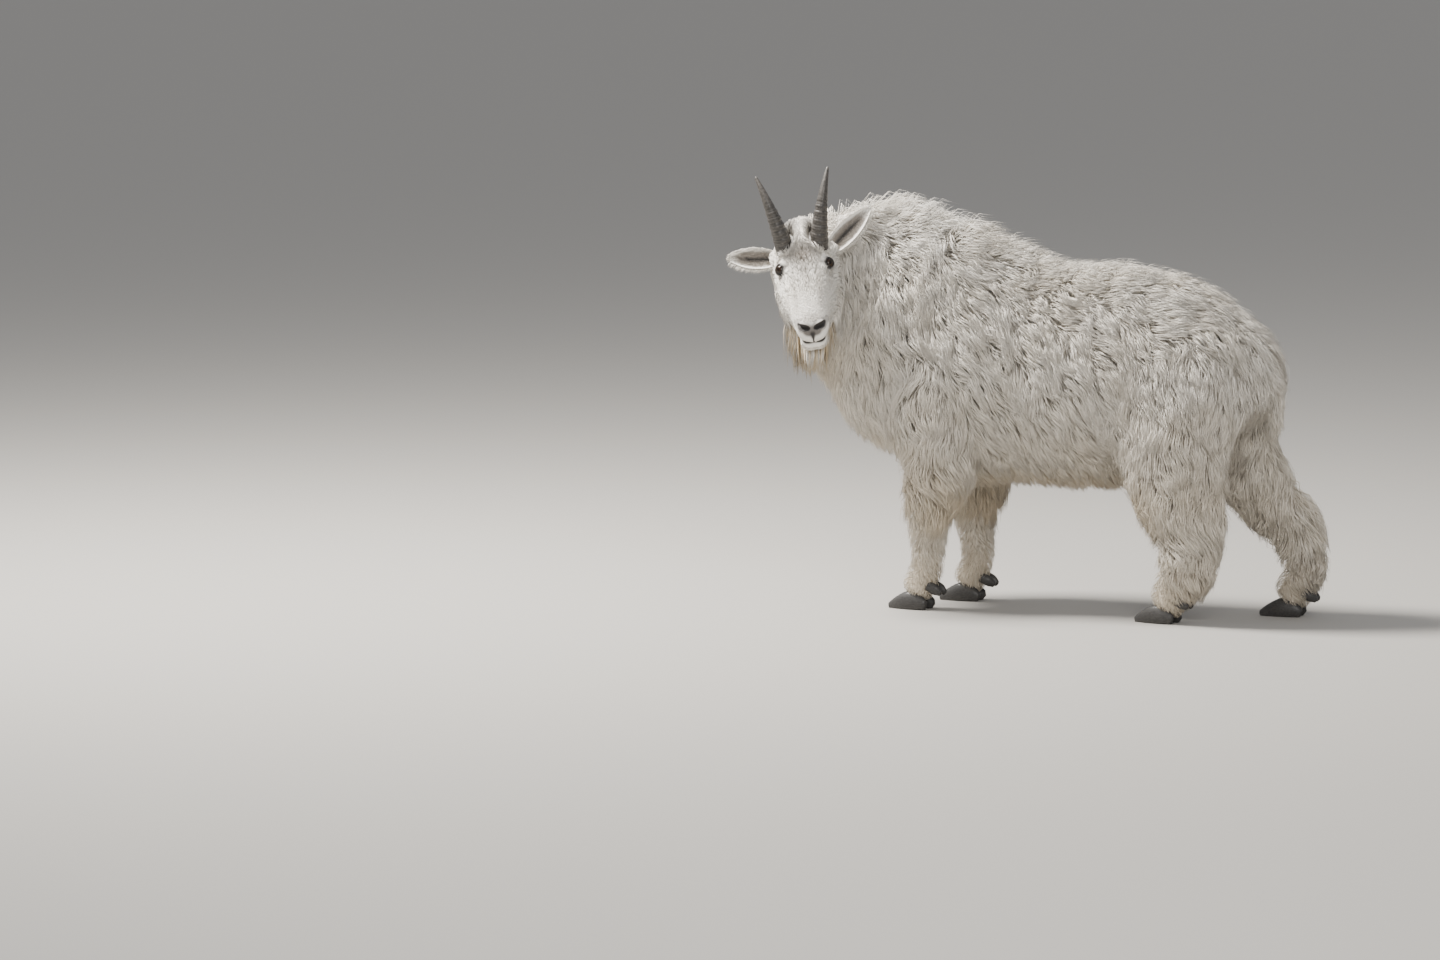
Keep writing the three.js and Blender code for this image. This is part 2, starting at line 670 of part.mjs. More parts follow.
// The beard: locks that hang from the jaw, each as [x, y, z] there in the head's frame and its length
const beardRoots = [
  [16, -26, -70, 128],
  [20, 28, -70, 136],
  [56, -20, -72, 156],
  [60, 22, -72, 146],
  [98, -15, -72, 132],
  [102, 17, -72, 124],
  [140, 0, -68, 98],
];
const beardLock = { width: 62, thick: 19, back: 0.22, spread: 9 };
function beardSolid([x, y, z, full], grow) {
  const root = new THREE.Vector3(x, y, z).multiplyScalar(unit).applyMatrix4(headFrame);
  const noseWay = new THREE.Vector3(1, 0, 0).transformDirection(headFrame);
  const leftWay = new THREE.Vector3(0, 1, 0).transformDirection(headFrame);
  const length = full * unit;
  const geometry = new THREE.ConeGeometry(1, 1, 4, 3);
  const position = geometry.attributes.position;
  for (let i = 0; i < position.count; i++) {
    const s = position.getY(i) + 0.5;
    const tip = s > 0.999;
    const ringRadius = Math.max(1e-6, 1 - s);
    const [across, over] = [position.getX(i) / ringRadius, position.getZ(i) / ringRadius];
    const spread = tip ? 0 : 0.55 + 0.45 * smooth(0, 0.3, s) - 0.8 * smooth(0.3, 1.1, s);
    const middle = root.clone();
    middle.z += 20 * unit - length * s;
    middle.addScaledVector(noseWay, -beardLock.back * length * (s - s * s));
    middle.addScaledVector(leftWay, Math.sign(y) * beardLock.spread * unit * s * (1 - 0.6 * s));
    const wide = tip ? 0 : (beardLock.width / 2) * spread * unit + grow;
    const thick = tip ? 0 : beardLock.thick * spread * unit + grow;
    middle.addScaledVector(leftWay, across * wide).addScaledVector(noseWay, over * thick);
    position.setXYZ(i, middle.x, middle.y, middle.z - (tip ? grow : 0));
  }
  return solidOf(geometry);
}

// Lids, the line of the mouth and the nostrils
const lid = { thickness: 3.5, length: 15, height: 8.5, depth: 13, out: 14, turn: 0.62 };
const mouth = { start: 100, end: 225, z: -42, droop: -6, deep: 8, line: 2.4 };
const nostril = { x: 176, y: 22, z: 0, half: [13, 6, 7], turn: 0.5 };
function lidSolid(side) {
  const radius = eyeRadius + lid.thickness;
  const ball = solidOf(inHead(pebble(eyeAt(side), [radius + 3, radius, radius], [0, 0, 0], 0, 10, 7)));
  const [x, y, z] = eyeAt(side);
  const middle = [x + 2, y + side * lid.out * Math.cos(lid.turn), z + lid.out * Math.sin(lid.turn)];
  const half = [lid.length, lid.depth, lid.height];
  return ball.subtract(solidOf(inHead(pebble(middle, half, [side * lid.turn, 0, 0], 0, 10, 6))));
}
function mouthGroove() {
  const length = (mouth.end - mouth.start) * unit;
  const slab = new THREE.BoxGeometry(length, 140 * unit, mouth.line, 3, 1, 1);
  const position = slab.attributes.position;
  for (let i = 0; i < position.count; i++) {
    const fromCorner = 0.5 - position.getX(i) / length;
    position.setZ(i, position.getZ(i) - mouth.droop * unit * fromCorner ** 2);
  }
  slab.translate(((mouth.start + mouth.end) / 2) * unit, 0, mouth.z * unit);
  const inner = solidOf(inHead(formGeometry(headForm(-mouth.deep), 10, 8)));
  return solidOf(inHead(slab)).subtract(inner);
}
function nostrilPit(side) {
  const { x, y, z, half, turn } = nostril;
  return solidOf(inHead(pebble([x, side * y, z], half, [side * turn, 0, side * 0.5], 0, 7, 5)));
}

// Cells that part the trunk into head, neck and torso, and the legs and tail from it
const meetCells = (a, b) => ({ inner: a.inner.intersect(b.inner), outer: a.outer.intersect(b.outer) });
const slope = (degrees) => THREE.MathUtils.degToRad(degrees);
// A large block on the side of a plane that its normal points to
function sideOf({ point, normal }) {
  const size = 2400 * unit;
  const away = toVector(normal).normalize();
  const make = (more) => {
    const geometry = new THREE.BoxGeometry(size, size, size);
    geometry.applyQuaternion(new THREE.Quaternion().setFromUnitVectors(new THREE.Vector3(1, 0, 0), away));
    const middle = toVector(point).multiplyScalar(unit).addScaledVector(away, size / 2 - more);
    geometry.translate(middle.x, middle.y, middle.z);
    return solidOf(geometry);
  };
  return { inner: make(0), outer: make(gap) };
}
const isBeyond = ({ point, normal }, place) => place.clone().sub(toVector(point)).dot(toVector(normal)) > 0;
const fromHead = (place, direction = false) => {
  const vector = toVector(place);
  if (direction) return vector.transformDirection(headFrame).toArray();
  return vector.multiplyScalar(unit).applyMatrix4(headFrame).divideScalar(unit).toArray();
};
const nape = { point: fromHead([-72, 0, -72]), normal: fromHead([1, 0, 1], true) };
const headBlock = { size: [620, 188, 540], middle: [70, 0, 145] };
const headCell = meetCells(sideOf(nape), boxCell(headBlock.size, headBlock.middle, [0, 0, 0], headFrame));
const toHeadFrame = headFrame.clone().invert();
function isHead(point) {
  const inside = point.clone().multiplyScalar(unit).applyMatrix4(toHeadFrame).divideScalar(unit).toArray();
  const within = inside.every((value, i) => Math.abs(value - headBlock.middle[i]) < headBlock.size[i] / 2);
  return within && isBeyond(nape, point);
}
const collar = { point: [-590, 0, 820], normal: [-Math.cos(slope(22)), -0.3, Math.sin(slope(22))] };
const neckCell = sideOf(collar);
const tailBox = { size: [140, 92, 250], middle: [530, 0, 530] };
const tailCell = boxCell(tailBox.size, tailBox.middle);
// Under the belly each leg is a whole column; above a sloping cut it is part of the torso.
const legCut = { height: 470, tilt: 22, margin: 50 }; // locks within the margin above belong to the leg
function legCellOf(side, x) {
  const top = { point: [0, side * 130, legCut.height], normal: [0, -side * Math.sin(slope(legCut.tilt)), 0] };
  top.normal[2] = -Math.cos(slope(legCut.tilt));
  const under = { point: top.point, normal: top.normal.map((value) => -value) };
  const column = boxCell([640, 262, 900], [x, side * 143, 440]);
  return { below: meetCells(column, sideOf(top)), above: sideOf(under), top };
}
const legCells = {
  leg_front_left: legCellOf(-1, -390),
  leg_front_right: legCellOf(1, -370),
  leg_hind_left: legCellOf(-1, 290),
  leg_hind_right: legCellOf(1, 380),
};
const legNames = Object.keys(legShapes);

// The node that a lock belongs to, or null where another form covers its root
const rootCover = 10; // how far inside another form's surface a place has to be to be covered
const coveredBy = (point, names) => names.some((name) => formOf(name).holds(point, -rootCover));
const nodeOf = {
  torso(point) {
    if (isBeyond(collar, point) || coveredBy(point, ["neck", ...legNames, "tail"])) return null;
    return "torso";
  },
  neck(point) {
    if (!isBeyond(collar, point) || coveredBy(point, ["torso"])) return null;
    if (headForm(0).holds(point.clone().applyMatrix4(toHeadFrame), 0)) return null;
    return isHead(point) ? null : "neck";
  },
  tail: () => "tail",
};
for (const name of legNames) {
  nodeOf[name] = (point) => {
    if (coveredBy(point, ["torso"])) return null;
    const rootedLower = point.clone().setZ(point.z - legCut.margin);
    return isBeyond(legCells[name].top, rootedLower) ? name : "torso";
  };
}

// The locks of one body form, each with its grown copy and the node that it belongs to
const lockChange = { length: 0.14, sway: 0.14, lift: 4 };
const lockHang = { least: 4, under: 26 };
function growLocks(name) {
  const form = formOf(name);
  const { tiers, lie } = bodies[name];
  const locks = [];
  for (const { u, angle, random } of tiersOf(form, tiers)) {
    const [sizeChange, swayChange, liftChange] = [random(), random(), random()];
    const { point, normal } = form.place(u, angle);
    const node = nodeOf[name](point);
    if (node === null) continue;
    const spec = {
      u,
      angle,
      lie: lie(point, normal, form.station(u).ahead),
      length: tiers.length * (1 + lockChange.length * sizeChange),
      width: tiers.width,
      sunk: tiers.sunk,
      lift: tiers.lift + lockChange.lift * liftChange + (tiers.crest ?? 0) * smooth(0.5, 0.9, normal.z),
      hang: lockHang.least + lockHang.under * Math.max(0, -normal.z),
      sway: lockChange.sway * swayChange,
    };
    const [exact, larger] = [0, 2 * gap].map((grow) => lockGeometry(form, spec, grow));
    if (!exact || !larger) continue;
    const [solid, grown] = [solidOf(exact), solidOf(larger)];
    locks.push({ node, solid, grown });
  }
  return locks;
}
const locks = Object.keys(bodies).flatMap(growLocks);
for (const root of beardRoots) {
  locks.push({ node: "head", solid: beardSolid(root, 0), grown: beardSolid(root, 2 * gap) });
}
const locksOf = (name, kind) => locks.filter(({ node }) => node === name).map((lock) => lock[kind]);

// Pieces are placed one after another, and each stays clear of the grown copies of those before it.
const taken = [];
function place(name, solid, grown, finish) {
  const clear = taken.length > 0 ? solid.subtract(joined(taken)) : solid;
  addNode(name, clear, finish);
  taken.push(grown.add(solid));
}

for (const [name, side] of Object.entries({ left: 1, right: -1 })) {
  place("eye_" + name, eyeSolid(side), eyeSolid(side, gap), "eye");
  place("horn_" + name, hornSolid(side), hornSolid(side, gap), "horn");
  const ear = ears[name];
  place("ear_" + name, earSolid(ear).subtract(earSolid(ear, 0, true)), earSolid(ear, gap), "coat");
}
const toes = { inner: 1, outer: -1 };
for (const [name, foot] of Object.entries(feet)) {
  for (const [toe, side] of Object.entries(toes)) {
    const claw = (grow) => hornyToe(clawRows, foot, side, clawSpread, clawSplay, grow, 8, 6);
    const dewclaw = (grow) => hornyToe(dewRows, foot, side, dewSpread, dewSplay, grow, 6, 4);
    place("claw_" + name + "_" + toe, claw(0), claw(gap), "hoof");
    place("dewclaw_" + name + "_" + toe, dewclaw(0), dewclaw(gap), "hoof");
  }
}

const trunkOf = (grow) => joined([coreOf("torso", grow), coreOf("neck", grow), skullSolid(grow)]);
const trunk = joined([trunkOf(0), lidSolid(1), lidSolid(-1)])
  .subtract(mouthGroove())
  .subtract(nostrilPit(1))
  .subtract(nostrilPit(-1));
const grownTrunk = trunkOf(gap);
const withLocks = (name, core, grownCore) => {
  const solid = joined([core, ...locksOf(name, "solid")]);
  place(name, solid, joined([grownCore, ...locksOf(name, "grown")]), "coat");
};
withLocks("head", trunk.intersect(headCell.inner), grownTrunk.intersect(headCell.outer));
const headless = trunk.subtract(headCell.outer);
withLocks("neck", headless.intersect(neckCell.inner), grownTrunk.intersect(neckCell.outer));
for (const name of legNames) {
  const { below } = legCells[name];
  withLocks(name, coreOf(name, 0).intersect(below.inner), coreOf(name, gap).intersect(below.outer));
}
withLocks("tail", coreOf("tail", 0).intersect(tailCell.inner), coreOf("tail", gap).intersect(tailCell.outer));
const shoulders = legNames.map((name) => coreOf(name, 0).intersect(legCells[name].above.inner));
withLocks("torso", joined([trunk.subtract(neckCell.outer), ...shoulders]), trunk);

// The origin is under the middle of the whole animal, on the floor.
const box = new THREE.Box3().setFromObject(goat);
const centre = box.getCenter(new THREE.Vector3());
for (const mesh of goat.children) mesh.geometry.translate(-centre.x, -centre.y, -box.min.z);
export default goat;
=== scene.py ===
from math import radians, sin, cos, pi

import bmesh
import bpy
import numpy as np
from mathutils import Euler, Matrix, Vector
from mathutils.bvhtree import BVHTree
from mathutils.kdtree import KDTree


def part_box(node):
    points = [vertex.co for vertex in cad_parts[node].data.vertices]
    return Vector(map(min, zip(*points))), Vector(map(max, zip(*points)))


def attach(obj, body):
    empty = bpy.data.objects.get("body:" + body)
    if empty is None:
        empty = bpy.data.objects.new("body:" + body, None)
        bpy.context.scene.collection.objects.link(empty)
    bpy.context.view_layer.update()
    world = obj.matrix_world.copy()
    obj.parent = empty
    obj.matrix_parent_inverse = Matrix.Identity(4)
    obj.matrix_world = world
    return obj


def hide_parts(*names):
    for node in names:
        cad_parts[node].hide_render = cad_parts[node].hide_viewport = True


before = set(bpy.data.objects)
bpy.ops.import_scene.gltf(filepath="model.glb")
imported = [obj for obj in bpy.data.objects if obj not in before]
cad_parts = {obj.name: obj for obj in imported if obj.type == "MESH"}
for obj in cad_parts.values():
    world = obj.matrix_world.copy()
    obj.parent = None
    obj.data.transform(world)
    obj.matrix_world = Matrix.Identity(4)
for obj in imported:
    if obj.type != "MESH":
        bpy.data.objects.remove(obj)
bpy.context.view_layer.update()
print("goat: frame loaded")

# How the head is carried, as in the solids: degrees, and metres in the rows' own frame
headPose = {"turn": 122, "pitch": 50, "tilt": 12.5, "betweenEyes": (-0.667, -0.250, 0.862)}
eyeSettings = {"radius": 0.015, "x": 0.010, "y": 0.057, "z": 0.014, "opening": (0.27, 0.60, 0.75)}
headTurned = (
    Matrix.Rotation(radians(180 + headPose["turn"]), 4, "Z")
    @ Matrix.Rotation(radians(headPose["pitch"]), 4, "Y")
    @ Matrix.Rotation(radians(headPose["tilt"]), 4, "X")
)
headInRows = Matrix.Translation(headPose["betweenEyes"]) @ headTurned
eyeInRows = headInRows @ Vector((eyeSettings["x"], eyeSettings["y"], eyeSettings["z"]))
eyeLow, eyeHigh = [Vector(corner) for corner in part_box("eye_left")]
rowShift = (eyeLow + eyeHigh) / 2 - eyeInRows  # from the rows' frame to the model's
rowShift.z = 0
headMatrix = Matrix.Translation(rowShift) @ headInRows

# Camera: the photograph's viewing angle, through a long lens
cameraSettings = {
    "azimuth": 24,
    "elevation": 6,
    "distance": 20.0,
    "lens": 200,
    "sensor": 36,
    "clip": 400,
    "right": -0.9225,
    "up": 0.330,
}


def addObject(name, data):
    thing = bpy.data.objects.new(name, data)
    bpy.context.scene.collection.objects.link(thing)
    return thing


def placeCamera(settings):
    a, e = radians(settings["azimuth"]), radians(settings["elevation"])
    right = Vector((cos(a), sin(a), 0))
    ahead = Vector((-sin(a) * cos(e), cos(a) * cos(e), -sin(e)))
    up = right.cross(ahead)
    target = rowShift + right * settings["right"] + up * settings["up"]
    data = bpy.data.cameras.new("camera")
    data.lens = settings["lens"]
    data.sensor_width = settings["sensor"]
    data.clip_end = settings["clip"]
    camera = addObject("camera", data)
    turned = Matrix((right, up, -ahead)).transposed().to_4x4()
    camera.matrix_world = Matrix.Translation(target - ahead * settings["distance"]) @ turned
    bpy.context.scene.camera = camera
    return right, ahead


viewRight, viewAhead = placeCamera(cameraSettings)
print("goat: camera set")

# Forms of the body under the coat. Each row is [x, y, z of its middle, half width, half height above or
# behind, half height below or before, coat depth] in thousandths of a metre.
torsoRows = [
    [-642, 0, 525, 45, 55, 60, 46],
    [-602, 0, 545, 90, 194, 150, 56],
    [-540, 0, 585, 122, 300, 252, 64],
    [-440, 0, 600, 138, 326, 258, 64],
    [-330, 0, 600, 144, 306, 250, 62],
    [-220, 0, 600, 150, 268, 240, 54],
    [-100, 0, 590, 158, 240, 240, 50],
    [30, 0, 585, 160, 248, 236, 50],
    [150, 0, 600, 152, 236, 220, 52],
    [240, 0, 610, 146, 194, 182, 54],
    [340, 0, 605, 130, 146, 135, 52],
    [425, 0, 600, 98, 84, 80, 48],
    [475, 0, 595, 50, 34, 35, 45],
]
neckRows = [
    [-430, 0, 680, 112, 236, 180, 66],
    [-530, -5, 735, 106, 232, 200, 66],
    [-606, -32, 785, 90, 226, 196, 62],
    [-660, -80, 834, 72, 190, 148, 54],
    [-694, -128, 872, 60, 128, 102, 44],
    [-708, -167, 906, 50, 74, 66, 34],
]
tailRows = [
    [430, 0, 655, 26, 24, 24, 20],
    [472, 0, 632, 24, 18, 18, 24],
    [490, 0, 585, 20, 14, 14, 26],
    [494, 0, 525, 14, 11, 11, 26],
    [490, 0, 470, 8, 7, 7, 22],
]
foreLegRows = [
    [-430, -75, 690, 42, 76, 76, 40],
    [-410, -98, 590, 52, 90, 85, 50],
    [-378, -120, 480, 55, 100, 60, 56],
    [-372, -122, 370, 44, 88, 44, 56],
    [-380, -118, 285, 35, 60, 34, 50],
    [-389, -114, 215, 27, 32, 27, 34],
    [-390, -111, 150, 25, 27, 26, 24],
    [-392, -110, 105, 26, 27, 29, 19],
    [-400, -110, 78, 29, 28, 34, 15],
    [-420, -110, 48, 33, 38, 40, 12],
]
nearHindRows = [
    [330, -70, 680, 46, 84, 94, 40],
    [300, -98, 590, 66, 126, 136, 46],
    [270, -114, 490, 64, 140, 132, 50],
    [282, -124, 400, 52, 112, 114, 56],
    [312, -130, 320, 40, 70, 104, 58],
    [338, -130, 250, 32, 48, 100, 54],
    [332, -130, 185, 27, 40, 78, 50],
    [308, -130, 120, 27, 38, 50, 38],
    [280, -130, 80, 31, 34, 38, 20],
    [252, -130, 48, 35, 44, 44, 12],
]
farHindRows = [
    [345, -70, 680, 46, 84, 94, 40],
    [336, -98, 590, 66, 106, 126, 46],
    [342, -114, 490, 64, 84, 112, 50],
    [372, -124, 400, 50, 58, 88, 52],
    [436, -130, 315, 40, 44, 74, 52],
    [500, -130, 245, 32, 44, 66, 50],
    [526, -130, 180, 27, 32, 42, 44],
    [526, -130, 120, 27, 30, 34, 36],
    [512, -130, 80, 31, 28, 34, 22],
    [486, -130, 48, 35, 40, 42, 12],
]
# The skull and the lower jaw, in the head's frame: x to the nose, y to the left, z out of the forehead
headRows = [
    [-120, 0, -18, 28, 24, 28, 8],
    [-98, 0, -12, 50, 46, 52, 10],
    [-58, 0, -6, 64, 60, 76, 10],
    [-16, 0, -6, 68, 56, 84, 9],
    [25, 0, -9, 66, 46, 80, 8],
    [65, 0, -13, 60, 40, 68, 7],
    [105, 0, -16, 52, 36, 54, 5],
    [142, 0, -19, 45, 33, 44, 4],
    [170, 0, -22, 42, 29, 40, 3],
    [190, 0, -27, 35, 22, 32, 2],
    [200, 0, -31, 25, 14, 19, 2],
]
jawRows = [
    [-20, 0, -58, 58, 28, 32, 16],
    [18, 0, -65, 64, 30, 32, 20],
    [60, 0, -65, 58, 28, 30, 20],
    [105, 0, -64, 46, 24, 28, 16],
    [145, 0, -65, 38, 20, 25, 10],
    [175, 0, -65, 31, 16, 20, 5],
    [191, 0, -64, 21, 11, 14, 3],
]
rightForeStride = 50  # how much further back the right fore hoof stands


def smooth(low, high, x):
    t = np.clip((np.asarray(x, float) - low) / (high - low), 0, 1)
    return t * t * (3 - 2 * t)


def unitRows(vectors):
    return vectors / np.maximum(np.linalg.norm(vectors, axis=-1, keepdims=True), 1e-9)


def rowDot(a, b):
    return (a * b).sum(-1, keepdims=True)


def strideRows(rows):
    return [[row[0] + rightForeStride * (1 - float(smooth(48, 480, row[2]))), *row[1:]] for row in rows]


bodyForms = {
    "torso": {"rows": torsoRows, "level": "trunk", "ridge": 1.75, "keel": 2.1, "mesh": (64, 60)},
    "neck": {"rows": neckRows, "level": "neck", "ridge": 1.8, "keel": 1.9, "mesh": (48, 36)},
    "tail": {"rows": tailRows, "level": "limb", "mesh": (20, 24)},
    "legFrontLeft": {"rows": foreLegRows, "level": "limb", "mesh": (32, 48)},
    "legFrontRight": {"rows": strideRows(foreLegRows), "level": "limb", "mirror": True, "mesh": (32, 48)},
    "legHindLeft": {"rows": nearHindRows, "level": "limb", "mesh": (36, 48)},
    "legHindRight": {"rows": farHindRows, "level": "limb", "mirror": True, "mesh": (36, 48)},
}
headForms = {
    "skull": {"rows": headRows, "level": "trunk", "ridge": 1.85, "keel": 1.9, "mesh": (56, 60)},
    "jaw": {"rows": jawRows, "level": "trunk", "ridge": 2.0, "keel": 1.9, "mesh": (36, 36)},
}
stationCount = 81  # places along a form at which its rows are read
endBulge = 0.6  # how far a form's ends stand out, as a share of their smallest half size


def splineRows(rows, count):
    points = np.array(rows, float)
    padded = np.vstack([points[:1], points, points[-1:]])
    place = np.linspace(0, len(points) - 1, count)
    i = np.minimum(place.astype(int), len(points) - 2)
    t = (place - i)[:, None]
    p0, p1, p2, p3 = padded[i], padded[i + 1], padded[i + 2], padded[i + 3]
    bend = (2 * p0 - 5 * p1 + 4 * p2 - p3) * t**2 + (3 * p1 - p0 - 3 * p2 + p3) * t**3
    return 0.5 * (2 * p1 + (p2 - p0) * t + bend)


def makeStations(form):
    table = splineRows(form["rows"], stationCount) / 1000
    middle = table[:, :3]
    ahead = unitRows(np.gradient(middle, axis=0))
    kept = np.array([0.0, 0, 1] if form["level"] == "neck" else [0.0, 1, 0])
    kept = unitRows(kept - ahead * (ahead @ kept)[:, None])
    other = np.cross(ahead, kept)
    side, up = (other, kept) if form["level"] == "neck" else (kept, other)
    if form["level"] == "trunk":
        up = up * np.sign(up[:, 2:3])
    if form["level"] == "limb":
        up = up * np.sign(up[:, 0:1])
    flip = np.array([1, -1 if form.get("mirror") else 1, 1])
    form["stations"] = {"middle": middle, "ahead": ahead, "side": side, "up": up, "flip": flip}
    form["sizes"] = table[:, 3:7]


def stationAt(values, u):
    place = np.clip(u, 0, 1) * (stationCount - 1)
    i = np.minimum(place.astype(int), stationCount - 2)
    t = place - i
    if values.ndim == 2:
        t = t[:, None]
    return values[i] * (1 - t) + values[i + 1] * t


def onForm(form, u, angle):
    s = form["stations"]
    width, rise, fall = stationAt(form["sizes"], u).T[:3]
    sine, cosine = np.sin(angle), np.cos(angle)
    power = 2 / np.where(sine > 0, form.get("ridge", 2), form.get("keel", 2))
    across = np.sign(cosine) * np.abs(cosine) ** power * width
    upward = np.sign(sine) * np.abs(sine) ** power * np.where(sine > 0, rise, fall)
    points = stationAt(s["middle"], u) + across[:, None] * stationAt(s["side"], u)
    return (points + upward[:, None] * stationAt(s["up"], u)) * s["flip"]


def vertPoints(mesh):
    return np.array([vert.co for vert in mesh.verts])


def moveVerts(mesh, points):
    for vert, point in zip(mesh.verts, points):
        vert.co = point


def faceKey(face):
    first, second, third = sorted(vert.index for vert in face.verts)[:3]
    return (first * 1e5 + second) * 1e5 + third


# A sphere's faces come in another order each run, so they are sorted by their corners
def ballMesh(around, along):
    mesh = bmesh.new()
    bmesh.ops.create_uvsphere(mesh, u_segments=around, v_segments=along, radius=1)
    mesh.verts.index_update()
    mesh.faces.sort(key=faceKey)
    ball = vertPoints(mesh)
    return mesh, np.arccos(np.clip(ball[:, 2], -1, 1)) / pi, np.arctan2(ball[:, 1], ball[:, 0])


def formMesh(form):
    around, along = form["mesh"]
    mesh, u, angle = ballMesh(around, along)
    ring = u * along
    points = onForm(form, np.clip((ring - 1) / (along - 2), 0, 1), angle)
    s = form["stations"]
    for end, pole, way in ((0, ring < 0.5, -1), (-1, ring > along - 0.5, 1)):
        bulge = endBulge * form["sizes"][end, :3].min() * way
        points[pole] = (s["middle"][end] + s["ahead"][end] * bulge) * s["flip"]
    moveVerts(mesh, points)
    bmesh.ops.recalc_face_normals(mesh, faces=mesh.faces)
    return mesh


def pebbleMesh(middle, half, turn):
    mesh = ballMesh(28, 18)[0]
    place = Matrix.Translation(Vector(middle) / 1000) @ Euler((turn, 0, 0)).to_matrix().to_4x4()
    place = place @ Matrix.Diagonal([h / 1000 for h in half] + [1])
    bmesh.ops.transform(mesh, matrix=place, verts=mesh.verts)
    return mesh


def joinMeshes(parts, matrix, name):
    data = bpy.data.meshes.new(name)
    whole = bmesh.new()
    for part in parts:
        part.to_mesh(data)
        part.free()
        whole.from_mesh(data)
    bmesh.ops.transform(whole, matrix=matrix, verts=whole.verts)
    whole.to_mesh(data)
    whole.free()
    return addObject(name, data)


def remeshed(piece, settings):
    modifier = piece.modifiers.new("remesh", "REMESH")
    modifier.mode = "VOXEL"
    modifier.voxel_size = settings["voxel"]
    evaluated = piece.evaluated_get(bpy.context.evaluated_depsgraph_get())
    mesh = bmesh.new()
    mesh.from_mesh(evaluated.to_mesh())
    evaluated.to_mesh_clear()
    old = piece.data
    bpy.data.objects.remove(piece)
    bpy.data.meshes.remove(old)
    for _ in range(settings["smoothing"]):
        bmesh.ops.smooth_vert(
            mesh, verts=mesh.verts, factor=0.5, use_axis_x=True, use_axis_y=True, use_axis_z=True
        )
    return mesh


for form in [*bodyForms.values(), *headForms.values()]:
    makeStations(form)
bodySettings = {"voxel": 0.0106, "smoothing": 5}
bodyParts = [formMesh(form) for form in bodyForms.values()]
bodyMesh = remeshed(joinMeshes(bodyParts, Matrix.Translation(rowShift), "flesh"), bodySettings)
print("goat: body skin", len(bodyMesh.faces), "faces")

# The head's soft forms over the skull and jaw, on both sides: middle and half sizes in thousandths of a
# metre, and the turn about x
headSettings = {"voxel": 0.0030, "smoothing": 4}
headPebbles = {
    "brow": [(6, 49, 27), (26, 13, 9), 0.5],
    "cheek": [(-24, 47, -40), (44, 21, 32), 0],
    "crown": [(-44, 42, 36), (26, 22, 20), 0],
    "earRoot": [(-48, 58, -18), (22, 18, 19), 0],
    "upperLip": [(168, 19, -25), (29, 22, 15), 0],
    "nostril": [(178, 22, -5), (17, 14, 13), 0],
    "chin": [(176, 10, -70), (26, 24, 18), 0],
    "lowerLip": [(183, 8, -55), (23, 25, 13), 0],
}
headParts = [formMesh(form) for form in headForms.values()]
for (x, y, z), half, turn in headPebbles.values():
    for side in (1, -1):
        headParts.append(pebbleMesh((x, side * y, z), half, side * turn))
headMesh = remeshed(joinMeshes(headParts, Matrix.Identity(4), "skull"), headSettings)
print("goat: head skin", len(headMesh.faces), "faces")

# Detail of the face, in the head's frame: each round of finer faces has its reach round the eyes and the x
# and z past which it takes the muzzle
faceDetail = {
    "finer": ((0.034, 0.132, -0.10), (0.021, 0.162, -0.058)),
    "finerTop": 0.02,
    "nostril": {
        "place": (0.179, 0.0205, -0.002),
        "facing": (0.72, 0.25, 0.62),
        "lie": (-0.42, 0.72, 0.34),
        "long": 0.0165,
        "wide": 0.0078,
        "bend": 0.25,
        "deep": 0.012,
    },
    "mouth": {"from": 0.120, "z": -0.0450, "rise": 0.004, "wide": 0.0042, "deep": 0.0015},
    "philtrum": {"from": 0.165, "top": -0.001, "wide": 0.0019, "flare": 2.2, "deep": 0.0024},
}
lidSettings = {
    "lie": (1.0, 0, -0.10),
    "long": 1.12,
    "high": 0.82,
    "narrowing": 0.22,
    "reach": 0.030,
    "thick": 0.0016,
    "fold": 0.0022,
    "socket": 0.72,
}


def mirrored(vector, side):
    return np.array(vector, float) * (1, side, 1)


def eyeFrame(side):
    centre = mirrored([eyeSettings[axis] for axis in "xyz"], side)
    out = unitRows(mirrored(eyeSettings["opening"], side))
    lie = np.array(lidSettings["lie"])
    long = unitRows(lie - out * (out @ lie))
    return centre, out, long, np.cross(out, long)


def lidHeight(a):
    return lidSettings["high"] - lidSettings["narrowing"] * np.abs(a)


def nearEyes(points):
    return np.min([np.linalg.norm(points - eyeFrame(side)[0], axis=1) for side in (1, -1)], axis=0)


def refineFace(mesh):
    for reach, front, low in faceDetail["finer"]:
        middles = np.array([face.calc_center_median() for face in mesh.faces])
        x, z = middles[:, 0], middles[:, 2]
        chosen = (nearEyes(middles) < reach) | ((x > front) & (z > low) & (z < faceDetail["finerTop"]))
        edges = dict.fromkeys(edge for face, take in zip(mesh.faces, chosen) if take for edge in face.edges)
        bmesh.ops.subdivide_edges(mesh, edges=list(edges), cuts=1, use_grid_fill=True, smooth=0.4)
        mesh.faces.ensure_lookup_table()


def nostrilAmount(points, wider=1.0):
    n = faceDetail["nostril"]
    amount = np.zeros(len(points))
    for side in (1, -1):
        out = unitRows(mirrored(n["facing"], side))
        long = mirrored(n["lie"], side)
        long = unitRows(long - out * (out @ long))
        across = np.cross(out, long)
        offset = points - mirrored(n["place"], side)
        offset = offset + across * (side * n["bend"]) * (offset @ long)[:, None]
        a, b = offset @ long / (n["long"] * wider), offset @ across / (n["wide"] * wider)
        amount = np.maximum(amount, 1 - smooth(0.55, 1.15, np.sqrt(a**2 + b**2)))
    return amount


